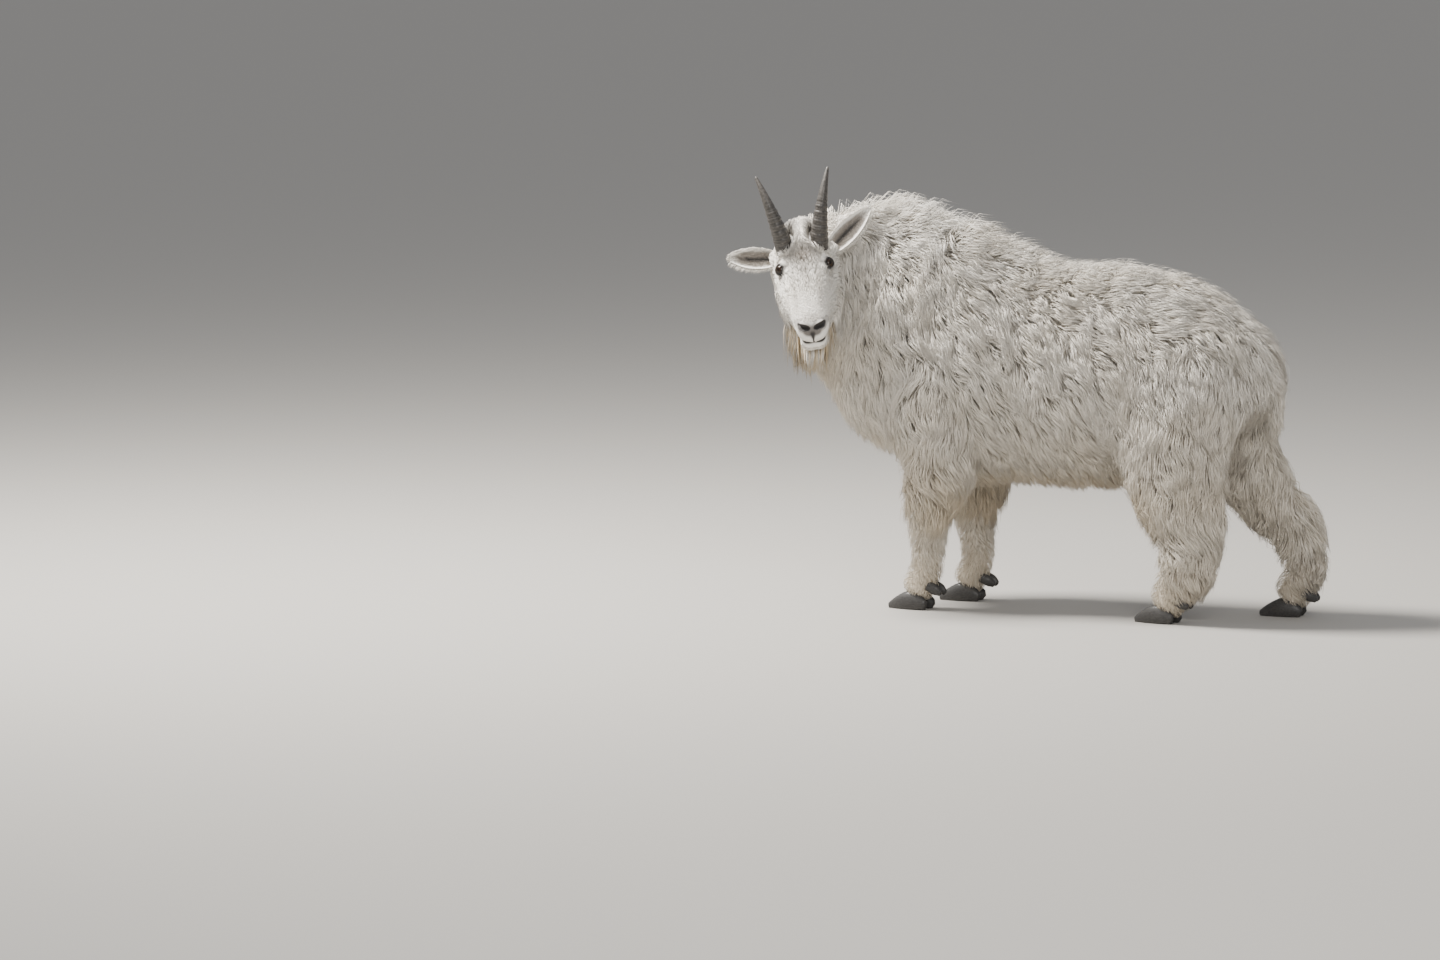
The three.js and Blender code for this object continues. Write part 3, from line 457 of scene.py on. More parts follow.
def mouthAmount(points):
    x, y, z = points.T
    m = faceDetail["mouth"]
    line = m["z"] + m["rise"] * smooth(0.03, 0.0, np.abs(y)) * smooth(0.17, 0.20, x)
    near = 1 - smooth(0.4 * m["wide"], 1.5 * m["wide"], np.abs(z - line))
    return near * smooth(m["from"], m["from"] + 0.015, x)


def philtrumAmount(points):
    x, y, z = points.T
    p, mouthLine = faceDetail["philtrum"], faceDetail["mouth"]["z"]
    wide = p["wide"] * (1 + p["flare"] * smooth(-0.026, -0.010, z))
    near = 1 - smooth(0.4 * wide, 1.6 * wide, np.abs(y))
    tall = smooth(mouthLine, mouthLine + 0.004, z) * (1 - smooth(p["top"] - 0.009, p["top"], z))
    return near * tall * smooth(p["from"], p["from"] + 0.010, x)


def shapeFace(mesh):
    mesh.normal_update()
    points = vertPoints(mesh)
    normals = np.array([vert.normal for vert in mesh.verts])
    radius, lids = eyeSettings["radius"], lidSettings
    for side in (1, -1):
        centre, out, long, high = eyeFrame(side)
        offset = points - centre
        away = np.linalg.norm(offset, axis=1)
        facing = offset @ out
        a, b = np.arctan2(offset @ long, facing), np.arctan2(offset @ high, facing)
        almond = (a / lids["long"]) ** 2 + (b / lidHeight(a)) ** 2
        near = (facing > 0) & (away < lids["reach"])
        lid = radius + lids["thick"] + lids["fold"] * smooth(1.0, 2.0, almond) * (1 - smooth(3, 6, almond))
        target = np.where(almond < 1, lids["socket"] * radius, lid)
        keep = smooth(2.2, 7.0, almond)
        reach = target * (1 - keep) + np.maximum(away, lid) * keep
        points = np.where(near[:, None], centre + offset / away[:, None] * reach[:, None], points)
    grooves = {"nostril": nostrilAmount, "mouth": mouthAmount, "philtrum": philtrumAmount}
    inward = sum(faceDetail[name]["deep"] * amount(points) for name, amount in grooves.items())
    moveVerts(mesh, points - normals * inward[:, None])


refineFace(headMesh)
shapeFace(headMesh)
print("goat: face shaped,", len(headMesh.faces), "faces")

# Markings with painted light and shade, shared by the skin and the coat, from places in the rows' frame and
# the head's frame
# cream, smoke, muzzle and nose also serve as painted shade on the body, the face and inside the ears
tones = {
    "white": (0.93, 0.91, 0.87),
    "cream": (0.88, 0.82, 0.72),
    "stain": (0.66, 0.52, 0.32),
    "smoke": (0.29, 0.25, 0.21),
    "nose": (0.035, 0.031, 0.030),
    "muzzle": (0.17, 0.155, 0.145),
    "gland": (0.06, 0.05, 0.04),
}
tones = {name: np.array(value) for name, value in tones.items()}


def blendTone(colour, amount, tone):
    return colour * (1 - amount[:, None]) + tones[tone] * amount[:, None]


def bell(*offsets):
    return np.exp(-sum(offset**2 for offset in offsets))


def toHead(points):
    inverse = np.array(headMatrix.inverted())
    return points @ inverse[:3, :3].T + inverse[:3, 3]


def bodyMarkingsAndPaintedLight(points):
    p = points - np.array(rowShift)
    x, _, z = p.T
    colour = np.tile(tones["white"], (len(p), 1))
    # Cream rising towards the belly is painted shade of the lower flank; the paler top of the back is a
    # painted highlight; the even 0.35 cream is the coat's own tint
    low, top = 1 - smooth(0.36, 0.62, z), smooth(0.80, 0.96, z)
    colour = blendTone(colour, 0.35 + 0.5 * low - 0.25 * top, "cream")
    belly = (1 - smooth(0.33, 0.42, z)) * smooth(-0.5, -0.3, x) * (1 - smooth(0.15, 0.3, x))
    colour = blendTone(colour, 0.5 * belly * (z > 0.25), "stain")
    throat = smooth(-0.58, -0.66, x) * smooth(0.80, 0.66, z) * smooth(0.5, 0.6, z)
    colour = blendTone(colour, 0.25 * throat, "stain")
    feet = 1 - smooth(0.05, 0.22, z)
    return blendTone(colour, 0.28 * feet, "stain")


# Spots of the head, several of them painted shade: tone, strength, middle and half size on some axes, and
# fades from one place to another; w is the distance from the middle line
headSpots = {
    # forehead and foreheadDark: painted shade on the brow between the eyes, under the horn bases
    "forehead": ("smoke", 0.85, {"x": (0.004, 0.024), "y": (0, 0.040)}, [("z", 0.01, 0.03)]),
    "foreheadDark": ("muzzle", 0.26, {"x": (0.004, 0.024), "y": (0, 0.040)}, [("z", 0.01, 0.03)]),
    # bridge and besideBridge: painted shade along the nose bridge and beside it
    "bridge": ("smoke", 0.42, {"x": (0.05, 0.05), "y": (0, 0.012)}, [("z", 0.0, 0.03)]),
    "besideBridge": (
        "smoke", 0.36, {"w": (0.030, 0.007)}, [("x", 0.03, 0.06), ("x", 0.16, 0.12), ("z", -0.02, 0)]
    ),
    "behindHorns": ("gland", 0.9, {"x": (-0.075, 0.020), "w": (0.026, 0.015)}, [("z", 0.01, 0.03)]),
    # beforeEyes: painted shade in the furrows before the eyes
    "beforeEyes": ("smoke", 0.40, {"x": (0.040, 0.018), "z": (0.004, 0.007)}, []),
    "throat": (
        "stain", 0.9, {}, [("z", -0.058, -0.080), ("x", 0, 0.05), ("x", 0.194, 0.170), ("w", 0.060, 0.038)]
    ),
    # noseTop: painted shade on the top of the nose, over the nose's own grey
    "noseTop": ("smoke", 0.55, {"x": (0.166, 0.014), "y": (0, 0.026)}, [("z", -0.02, 0.0)]),
}
rimReach = (0.0170, 0.0212)  # the dark rim's fade, from the middle of the eye


def headMarkingsAndPaintedShade(points):
    p = toHead(points)
    x, y, z = p.T
    axes = {"x": x, "y": y, "z": z, "w": np.abs(y)}
    colour = np.tile(tones["white"], (len(p), 1))
    for tone, amount, spot, fades in headSpots.values():
        amount = amount * bell(*[(axes[axis] - middle) / half for axis, (middle, half) in spot.items()])
        for axis, first, last in fades:
            amount = amount * smooth(first, last, axes[axis])
        colour = blendTone(colour, amount, tone)
    pad = bell((x - 0.188) / 0.020, (z + 0.006) / 0.010, (y / 0.024) ** 2)
    colour = blendTone(colour, smooth(0.10, 0.6, pad), "muzzle")
    # painted shade on the lower side of the lip lobes
    lobes = bell((z + 0.030) / 0.009) * smooth(0.165, 0.185, x)
    colour = blendTone(colour, 0.22 * lobes, "smoke")
    # grey round the nostrils: painted shade over the nose's own grey
    colour = blendTone(colour, 0.6 * smooth(0.0, 0.7, nostrilAmount(p, 1.9)), "muzzle")
    # the nostrils near-black: painted shade inside the openings
    colour = blendTone(colour, smooth(0.10, 0.7, nostrilAmount(p, 1.25)), "nose")
    # the mouth line and the philtrum: painted shade in the creases
    colour = blendTone(colour, np.clip(1.8 * mouthAmount(p) + philtrumAmount(p), 0, 1), "nose")
    return blendTone(colour, 1 - smooth(*rimReach, nearEyes(p)), "nose")


# One skin for all the flesh: the body's and the head's meshes in one object
def paint(data, colours):
    layer = data.color_attributes.new("tone", "FLOAT_COLOR", "POINT")
    values = np.ones((len(data.vertices), 4))
    values[:, :3] = colours
    layer.data.foreach_set("color", values.ravel())


def pointsOf(data):
    points = np.empty(len(data.vertices) * 3)
    data.vertices.foreach_get("co", points)
    return points.reshape(-1, 3)


bmesh.ops.transform(headMesh, matrix=headMatrix, verts=headMesh.verts)
skinMesh = bmesh.new()
flesh = bpy.data.meshes.new("flesh")
for part in (bodyMesh, headMesh):
    part.to_mesh(flesh)
    skinMesh.from_mesh(flesh)
headStart = len(bodyMesh.verts)
bodyMesh.free()
headMesh.free()
skinData = bpy.data.meshes.new("skin")
skinMesh.to_mesh(skinData)
skinMesh.free()
skinData.shade_smooth()
skin = addObject("skin", skinData)
skinPoints = pointsOf(skinData)
paint(skinData, np.vstack([bodyMarkingsAndPaintedLight(skinPoints[:headStart]), headMarkingsAndPaintedShade(skinPoints[headStart:])]))
flesh.clear_geometry()
fleshNodes = ("head", "neck", "torso", "tail")
legNodes = ("leg_front_left", "leg_front_right", "leg_hind_left", "leg_hind_right")
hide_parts(*fleshNodes, *legNodes)
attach(skin, "root")
print("goat: skin joined,", len(skinData.polygons), "faces")

# Where each place on the skin lies on its form: the nearest sample of a grid over every form
allForms = {**bodyForms, **headForms}
formNames = list(allForms)
headArray = np.array(headMatrix)


def toModel(name, points):
    if name in headForms:
        return points @ headArray[:3, :3].T + headArray[:3, 3]
    return points + np.array(rowShift)


sampleSteps = {"along": 72, "around": 56, "slope": 1e-3}


def sampleForms():
    columns = [[] for _ in range(6)]
    slope = sampleSteps["slope"]
    places = np.linspace(0, 1, sampleSteps["along"])
    turns = np.linspace(-pi, pi, sampleSteps["around"], endpoint=False)
    u, angle = [grid.ravel() for grid in np.meshgrid(places, turns, indexing="ij")]
    inside = np.clip(u, slope, 1 - slope)
    for index, name in enumerate(formNames):

        def at(u, angle):
            return toModel(name, onForm(allForms[name], u, angle))

        along = (at(inside + slope, angle) - at(inside - slope, angle)) / (2 * slope)
        around = (at(u, angle + slope) - at(u, angle - slope)) / (2 * slope)
        found = (at(u, angle), u, angle, along, around, np.full(len(u), index))
        for column, values in zip(columns, found):
            column.append(values)
    return [np.concatenate(column) for column in columns]


def makeTree(points):
    tree = KDTree(len(points))
    for index, point in enumerate(points):
        tree.insert(point, index)
    tree.balance()
    return tree


samplePoints, sampleU, sampleAngle, sampleAlong, sampleAround, sampleLabel = sampleForms()
sampleTree = makeTree(samplePoints)

# Each form has a rectangle of the unwrap: its lower corner and size
unwrapPlaces = {
    "torso": (0.01, 0.01, 0.48, 0.58),
    "neck": (0.51, 0.01, 0.24, 0.38),
    "skull": (0.77, 0.01, 0.22, 0.38),
    "jaw": (0.77, 0.41, 0.22, 0.16),
    "tail": (0.51, 0.41, 0.24, 0.16),
    "legFrontLeft": (0.01, 0.61, 0.23, 0.38),
    "legFrontRight": (0.26, 0.61, 0.23, 0.38),
    "legHindLeft": (0.51, 0.61, 0.23, 0.38),
    "legHindRight": (0.76, 0.61, 0.23, 0.38),
}


def locate(points):
    found = np.array([sampleTree.find(point)[1] for point in points])
    offset = points - samplePoints[found]
    along, around = sampleAlong[found], sampleAround[found]
    du = (rowDot(offset, along) / np.maximum(rowDot(along, along), 1e-9))[:, 0]
    da = (rowDot(offset, around) / np.maximum(rowDot(around, around), 1e-9))[:, 0]
    label = sampleLabel[found]
    u = np.clip(sampleU[found] + np.clip(du, -0.03, 0.03), 0, 1)
    angle = (sampleAngle[found] + np.clip(da, -0.12, 0.12) + pi) % (2 * pi)
    places = np.array([unwrapPlaces[name] for name in formNames])[label]
    uv = places[:, :2] + places[:, 2:] * np.stack([u, angle / (2 * pi)], axis=1)
    return label, u, angle - pi, uv


def unwrapSkin(data):
    uv = locate(pointsOf(data))[3]
    loops = np.empty(len(data.loops), int)
    data.loops.foreach_get("vertex_index", loops)
    layer = data.uv_layers.new(name="OFBake")
    layer.data.foreach_set("uv", uv[loops].ravel())


unwrapSkin(skinData)
print("goat: skin unwrapped")


# Materials: small helpers that only add nodes and link them
def newMaterial(name, roughness, sheen=0.0, coat=0.0):
    material = bpy.data.materials.new(name)
    material.use_nodes = True
    shader = material.node_tree.nodes["Principled BSDF"]
    shader.inputs["Roughness"].default_value = roughness
    shader.inputs["Sheen Weight"].default_value = sheen
    shader.inputs["Coat Weight"].default_value = coat
    return material, shader


def addNode(material, kind, inputs=None, **values):
    node = material.node_tree.nodes.new(kind)
    for key, value in values.items():
        setattr(node, key, value)
    for key, value in (inputs or {}).items():
        node.inputs[key].default_value = value
    return node


def link(material, start, output, end, name):
    material.node_tree.links.new(start.outputs[output], end.inputs[name])


def addAttribute(material, name):
    return addNode(material, "ShaderNodeAttribute", attribute_name=name)


def addNoise(material, source, output, settings):
    node = addNode(material, "ShaderNodeTexNoise", settings)
    link(material, source, output, node, "Vector")
    return node


def addRamp(material, source, output, stops):
    node = addNode(material, "ShaderNodeValToRGB")
    link(material, source, output, node, "Fac")
    ramp = node.color_ramp
    while len(ramp.elements) < len(stops):
        ramp.elements.new(0.5)
    for element, (place, colour) in zip(ramp.elements, stops):
        element.position = place
        element.color = (*colour, 1)
    return node.outputs["Color"]


def multiplied(material, first, second):
    node = addNode(material, "ShaderNodeMix", data_type="RGBA", blend_type="MULTIPLY")
    node.inputs["Factor"].default_value = 1.0
    material.node_tree.links.new(first, node.inputs["A"])
    material.node_tree.links.new(second, node.inputs["B"])
    return node.outputs["Result"]


def finishSurface(material, shader, colour, noise, strength, distance):
    material.node_tree.links.new(colour, shader.inputs["Base Color"])
    bump = addNode(material, "ShaderNodeBump", {"Strength": strength, "Distance": distance})
    link(material, noise, "Fac", bump, "Height")
    link(material, bump, "Normal", shader, "Normal")
    return material


furSettings = {
    "roughness": 0.72,
    "sheen": 0.12,
    # darker towards the roots: painted shade deep in the coat
    "paintedRootShade": [(0.0, (0.84, 0.81, 0.76)), (0.5, (0.97, 0.96, 0.94)), (1.0, (1, 1, 1))],
    "hairScale": (7.0, 1.3, 60.0),
    "hairLines": [(0.32, (0.86, 0.845, 0.82)), (0.6, (1, 1, 1))],
    "patchScale": 9.0,
    "patches": [(0.36, (0.95, 0.935, 0.91)), (0.6, (1, 1, 1))],
}


def makeFurMaterial(s):
    material, shader = newMaterial("fur", s["roughness"], sheen=s["sheen"])
    strand = addAttribute(material, "strand")
    parts = addNode(material, "ShaderNodeSeparateXYZ")
    link(material, strand, "Vector", parts, "Vector")
    stretch = addNode(material, "ShaderNodeVectorMath", {1: s["hairScale"]}, operation="MULTIPLY")
    link(material, strand, "Vector", stretch, 0)
    hairs = addNoise(material, stretch, "Vector", {"Scale": 1.0, "Detail": 2.0})
    place = addNode(material, "ShaderNodeTexCoord")
    broad = addNoise(material, place, "Object", {"Scale": s["patchScale"], "Detail": 3.0})
    colour = addAttribute(material, "tone").outputs["Color"]
    for source, output, stops in (
        (parts, "Y", s["paintedRootShade"]),
        (hairs, "Fac", s["hairLines"]),
        (broad, "Fac", s["patches"]),
    ):
        colour = multiplied(material, colour, addRamp(material, source, output, stops))
    return finishSurface(material, shader, colour, hairs, 0.5, 0.0006)


def makeSkinMaterial():
    material, shader = newMaterial("undercoat", 0.8, sheen=0.02)
    place = addNode(material, "ShaderNodeTexCoord")
    fine = addNoise(material, place, "Object", {"Scale": 900.0, "Detail": 3.0})
    grain = addRamp(material, fine, "Fac", [(0.3, (0.84, 0.82, 0.79)), (0.7, (1, 1, 1))])
    tone = addAttribute(material, "tone").outputs["Color"]
    return finishSurface(material, shader, multiplied(material, tone, grain), fine, 0.6, 0.0006)


def makeHornMaterial(name, roughness, scale, dark, pale):
    material, shader = newMaterial(name, roughness, coat=0.12)
    place = addNode(material, "ShaderNodeTexCoord")
    stretch = addNode(material, "ShaderNodeMapping", {"Scale": scale})
    link(material, place, "Object", stretch, "Vector")
    grain = addNoise(material, stretch, "Vector", {"Scale": 1.0, "Detail": 5.0, "Roughness": 0.65})
    ramp = addRamp(material, grain, "Fac", [(0.34, dark), (0.68, pale)])
    tone = addAttribute(material, "tone").outputs["Color"]
    return finishSurface(material, shader, multiplied(material, ramp, tone), grain, 0.35, 0.0008)


def makeToneMaterial(name, roughness, coat, specular):
    material, shader = newMaterial(name, roughness, coat=coat)
    shader.inputs["Coat Roughness"].default_value = 0.03
    shader.inputs["Specular IOR Level"].default_value = specular
    link(material, addAttribute(material, "tone"), "Color", shader, "Base Color")
    return material


fur = makeFurMaterial(furSettings)
undercoat = makeSkinMaterial()
hornStuff = makeHornMaterial("horn", 0.5, (120, 120, 160), (0.026, 0.024, 0.022), (0.078, 0.072, 0.067))
hoofStuff = makeHornMaterial("hoof", 0.6, (160, 160, 420), (0.018, 0.017, 0.016), (0.052, 0.049, 0.046))
eyeStuff = makeToneMaterial("eye", 0.12, 0.7, 0.0)
rimStuff = makeToneMaterial("lid", 0.35, 0.3, 0.5)
skinData.materials.append(undercoat)


def addPiece(mesh, points, matrix, name, material, nodes, tone):
    place = np.array(matrix)
    moveVerts(mesh, points @ place[:3, :3].T + place[:3, 3])
    bmesh.ops.recalc_face_normals(mesh, faces=mesh.faces)
    data = bpy.data.meshes.new(name)
    mesh.to_mesh(data)
    mesh.free()
    data.shade_smooth()
    paint(data, tone)
    data.materials.append(material)
    piece = addObject(name, data)
    if nodes:
        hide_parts(*nodes)
    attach(piece, "root")
    return piece


# Horns: black-brown, curving back, with rings over the lower two thirds and a smooth tip
hornSettings = {
    "base": (-0.045, 0.043, 0.044),
    "sunk": (0.008, -0.002, -0.022),
    "back": 0.144,
    "rise": 0.104,
    "spread": 0.048,
    "bend": (0.3, 0.3, 0.72),
    "radius": 0.024,
    "taper": (0.86, 1.25),
    "roundTip": (0.965, 0.036),
    "deeper": 1.12,
    "rings": 21,
    "ringed": 0.64,
    "ringHigh": 0.00075,
    "waves": 11.5,
    "waveHigh": 0.0007,
    "flutes": 17,
    "fluteHigh": 0.00018,
    "tint": (1.0, 0.97, 0.93),
    "mesh": (56, 260),
}


def hornPath(side, u):
    h = hornSettings
    base = np.array(h["base"])
    reach = np.array([-h["back"], h["spread"], h["rise"]])
    start = mirrored(base + h["sunk"], side)
    bend = mirrored(base + reach * h["bend"], side)
    tip = mirrored(base + reach, side)
    u = np.asarray(u)[:, None]
    middle = start * (1 - u) ** 2 + bend * 2 * u * (1 - u) + tip * u**2
    ahead = unitRows((bend - start) * (1 - u) + (tip - bend) * u)
    across = unitRows(np.array([0, 1.0, 0]) - ahead * ahead[:, 1:2])
    return middle, across, np.cross(ahead, across)


def hornRadius(u):
    h = hornSettings
    first, length = h["roundTip"]
    share, power = h["taper"]
    tip = np.sqrt(np.clip(1 - (np.clip(u - first, 0, 1) / length) ** 2, 0, 1))
    return h["radius"] * (1 - share * u**power) * tip


def addHorn(name, side):
    h = hornSettings
    mesh, u, angle = ballMesh(*h["mesh"])
    middle, across, out = hornPath(side, u)
    fade = 1 - smooth(h["ringed"] - 0.14, h["ringed"] + 0.04, u)
    turn = 2 * pi * h["rings"] * (u / h["ringed"]) ** 0.86 + 0.5 * np.sin(angle + 2.0) + 0.4 * np.sin(9 * u)
    ring = np.abs(np.sin(turn / 2)) ** 0.7 - 0.6
    coarse = np.cos(2 * pi * u * h["waves"])
    flutes = h["fluteHigh"] * np.sin(angle * h["flutes"] + 3 * u) * fade
    radius = hornRadius(u) + (h["ringHigh"] * ring + h["waveHigh"] * coarse) * fade * (u > 0.01) + flutes
    radius = np.where((u < 0.001) | (u > 0.999), 0, radius)
    points = middle + across * (radius * np.cos(angle))[:, None]
    points = points + out * (h["deeper"] * radius * np.sin(angle))[:, None]
    shade = 0.72 + 0.5 * np.clip(ring + 0.5, 0, 1) * fade + 0.55 * smooth(0.5, 0.8, u)
    addPiece(mesh, points, headMatrix, name, hornStuff, (name,), shade[:, None] * np.array(h["tint"]))


addHorn("horn_left", 1)
addHorn("horn_right", -1)


# Ears: thin cupped leaves, with painted shade inside the cup and a painted shadow line along it
earSettings = {
    "base": (-0.048, 0.060, -0.020),
    "halfWidth": 0.026,
    "thick": 0.014,
    "bowl": 0.38,
    "curl": 0.42,
    "facing": (0.45, 0, 0.89),
    "reach": {"left": (-0.116, 0.122, 0.006), "right": (-0.027, 0.133, -0.005)},
    "mesh": (64, 70),
}


def addEar(name, side):
    e = earSettings
    start, reach = mirrored(e["base"], side), mirrored(e["reach"][name], side)
    ahead = unitRows(reach)
    face = np.array(e["facing"])
    face = unitRows(face - ahead * (ahead @ face))
    across = np.cross(face, ahead)
    mesh, u, angle = ballMesh(*e["mesh"])
    sine, cosine = np.sin(angle), np.cos(angle)
    leaf = np.sin(pi * np.minimum(1, 0.2 + 0.8 * u) ** 1.15) ** 0.8 * (u > 0.005)
    leaf = np.where(u > 0.995, 0, leaf)
    front = sine > 0
    bowl = np.where(front, -e["bowl"], -1.0) * np.abs(sine) * e["thick"] * leaf
    curl = e["curl"] * e["thick"] * leaf * np.abs(cosine) ** 3
    wide = e["halfWidth"] * leaf * cosine
    points = start + reach * u[:, None] + across * wide[:, None] + face * (bowl + curl)[:, None]
    # the grey inside the cup: painted shade
    inner = front * (1 - smooth(0.55, 0.95, np.abs(cosine))) * smooth(0.02, 0.10, u) * smooth(0.95, 0.7, u)
    tone = blendTone(np.tile(tones["white"], (len(u), 1)), 0.85 * inner, "smoke")
    # the dark line along the cup's middle: painted shadow
    earCupShadow = front * bell((cosine - 0.05) / 0.26) * smooth(0.04, 0.12, u) * smooth(0.85, 0.55, u)
    tone = blendTone(tone, 0.95 * earCupShadow, "nose")
    piece = addPiece(mesh, points, headMatrix, "ear_" + name, undercoat, ("ear_" + name,), tone)
    axes = [vector @ headArray[:3, :3].T for vector in (reach, across, face)]
    start = np.array(headMatrix @ Vector(start))
    return {"name": name, "piece": piece, "tone": tone, "start": start, "axes": axes}


ears = [addEar("left", 1), addEar("right", -1)]


# Eyes: dark brown iris, level pupil, clear surface, and a dark rim on the lids
eyeLooks = {
    "iris": (0.024, 0.013, 0.007),
    "white": (0.016, 0.012, 0.010),
    "pupil": (0.34, 0.15),
    "pupilTone": 0.002,
    "bulge": 0.035,
    "mesh": (96, 64),
}
rimSettings = {
    "tone": (0.018, 0.015, 0.013),
    "thick": 0.0013,
    "raised": 0.0012,
    "outward": 0.0006,
    "mesh": (97, 10),
}


def addEye(name, side):
    e = eyeLooks
    centre, out, long, high = eyeFrame(side)
    mesh, u, angle = ballMesh(*e["mesh"])
    x, y, z = np.cos(angle) * np.sin(pi * u), np.sin(angle) * np.sin(pi * u), np.cos(pi * u)
    bulge = 1 + e["bulge"] * smooth(0.75, 0.95, z)
    turned = out * z[:, None] + long * x[:, None] + high * y[:, None]
    points = centre + eyeSettings["radius"] * bulge[:, None] * turned
    white = smooth(0.50, 0.60, np.hypot(x, y))[:, None]
    tone = np.array(e["iris"]) * (1 - white) + np.array(e["white"]) * white
    tone = tone * (0.75 + 0.35 * np.sin(np.arctan2(y, x) * 40) ** 2)[:, None]
    pupil = 1 - smooth(0.85, 1.1, np.hypot(x / e["pupil"][0], y / e["pupil"][1]))[:, None]
    tone = tone * (1 - pupil) + e["pupilTone"] * pupil
    addPiece(mesh, points, headMatrix, name, eyeStuff, (name,), tone)


def addRim(name, side):
    centre, out, long, high = eyeFrame(side)
    r = rimSettings
    mesh = bmesh.new()
    bmesh.ops.create_grid(mesh, x_segments=r["mesh"][0], y_segments=r["mesh"][1], size=0.5)
    grid = vertPoints(mesh)
    turn, ring = (grid[:, 0] + 0.5) * 2 * pi, grid[:, 1:2] * 2 * pi
    a = lidSettings["long"] * np.cos(turn)
    b = np.sin(turn) * lidHeight(a)
    way = out * (np.cos(a) * np.cos(b))[:, None] + long * (np.sin(a) * np.cos(b))[:, None]
    way = unitRows(way + high * np.sin(b)[:, None])
    outward = unitRows(long * np.cos(turn)[:, None] + high * (0.6 * np.sin(turn))[:, None])
    outward = unitRows(outward - way * rowDot(outward, way))
    middle = centre + way * (eyeSettings["radius"] + r["raised"]) + outward * r["outward"]
    moveVerts(mesh, middle + r["thick"] * (outward * np.cos(ring) + way * np.sin(ring)))
    bmesh.ops.remove_doubles(mesh, verts=mesh.verts, dist=1e-5)
    points = vertPoints(mesh)
    addPiece(mesh, points, headMatrix, name, rimStuff, (), np.tile(r["tone"], (len(points), 1)))


for name, side in (("left", 1), ("right", -1)):
    addEye("eye_" + name, side)
    addRim("lid_" + name, side)
print("goat: horns, ears and eyes made")
# Hooves: two claws and two dewclaws a foot, flat on the floor
footPlaces = {
    "front_left": (-0.416, -0.110, -4),
    "front_right": (-0.366, 0.110, 4),
    "hind_left": (0.252, -0.130, -6),
    "hind_right": (0.488, 0.130, 6),
}
clawRows = [
    [30, 0, 12, 9, 12, 14, 0],
    [12, 0, 17, 14, 21, 20, 0],
    [-16, 0, 18, 17, 28, 22, 0],
    [-46, 0, 13, 14, 20, 18, 0],
    [-74, 0, 5, 7, 9, 10, 0],
]
dewRows = [[70, 0, 44, 6, 7, 8, 0], [56, 0, 52, 10, 13, 13, 0], [36, 0, 62, 9, 12, 12, 0]]
toeKinds = {
    "claw": {"rows": clawRows, "spread": 0.020, "splay": 6, "mesh": (56, 60)},
    "dewclaw": {"rows": dewRows, "spread": 0.027, "splay": -12, "mesh": (32, 30)},
}
toeLooks = {"growth": (0.0042, 0.00022), "spokes": (0.0031, 0.00010), "worn": (0.5, 0.012)}


def addToe(kind, foot, side):
    toe = toeKinds[kind]
    form = {"rows": toe["rows"], "level": "trunk", "ridge": 1.9, "keel": 2.6, "mesh": toe["mesh"]}
    makeStations(form)
    mesh = formMesh(form)
    points = vertPoints(mesh)
    apart, high = toeLooks["growth"]
    relief = np.sin(points[:, 2] * 2 * pi / apart + 4 * np.sin(points[:, 0] * 60)) * high
    apart, high = toeLooks["spokes"]
    relief = relief + np.sin(points[:, 0] * 2 * pi / apart) * high
    points = points + unitRows(points - points.mean(axis=0)) * relief[:, None]
    x, y, turn = footPlaces[foot]
    place = np.array(
        Matrix.Translation((x + rowShift.x, y + rowShift.y, 0))
        @ Matrix.Rotation(radians(turn), 4, "Z")
        @ Matrix.Translation((0, side * toe["spread"], 0))
        @ Matrix.Rotation(radians(side * toe["splay"]), 4, "Z")
    )
    points = points @ place[:3, :3].T + place[:3, 3]
    points[:, 2] = np.maximum(points[:, 2], 0)
    paler, worn = toeLooks["worn"]
    tone = np.tile(1 + paler * smooth(worn, 0.0, points[:, 2:]), (1, 3))
    name = kind + "_" + foot + ("_inner" if side > 0 else "_outer")
    addPiece(mesh, points, Matrix.Identity(4), name, hoofStuff, (name,), tone)


for foot in footPlaces:
    for kind in toeKinds:
        for side in (1, -1):
            addToe(kind, foot, side)
print("goat: hooves made")

# Floor and light: a lamp's place is right of the goat, towards the camera and up
floorSettings = {"reach": 150, "tone": (0.40, 0.385, 0.36)}
lamps = {
    "key": {"place": (-2.8, -0.6, 4.8), "size": 1.6, "power": 980, "tint": (1.0, 0.965, 0.91)},
    "fill": {"place": (0.6, 7.0, 3.0), "size": 3.2, "power": 250, "tint": (1.0, 0.975, 0.94)},
}
lampAim = Vector((0, 0, 0.5))
skyLight = {"Color": (0.96, 0.97, 1.0, 1), "Strength": 0.52}


def addFloor(settings):
    mesh = bmesh.new()
    bmesh.ops.create_grid(mesh, x_segments=1, y_segments=1, size=settings["reach"])
    data = bpy.data.meshes.new("floor")
    mesh.to_mesh(data)
    mesh.free()
    material, shader = newMaterial("floor", 0.85)
    shader.inputs["Base Color"].default_value = (*settings["tone"], 1)
    data.materials.append(material)
    floor = addObject("floor", data)


def addLamp(name, settings):
    data = bpy.data.lights.new(name, "AREA")
    data.size = settings["size"]
    data.energy = settings["power"]
    data.color = settings["tint"]
    right, nearer, up = settings["place"]
    lamp = addObject(name, data)
    lamp.location = viewRight * right - viewAhead * nearer + Vector((0, 0, up))
    lamp.rotation_euler = (lampAim - lamp.location).to_track_quat("-Z", "Y").to_euler()


addFloor(floorSettings)
for name, settings in lamps.items():
    addLamp(name, settings)
world = bpy.data.worlds.new("studio")
world.use_nodes = True
for name, value in skyLight.items():
    world.node_tree.nodes["Background"].inputs[name].default_value = value
bpy.context.scene.world = world
print("goat: floor and lights")

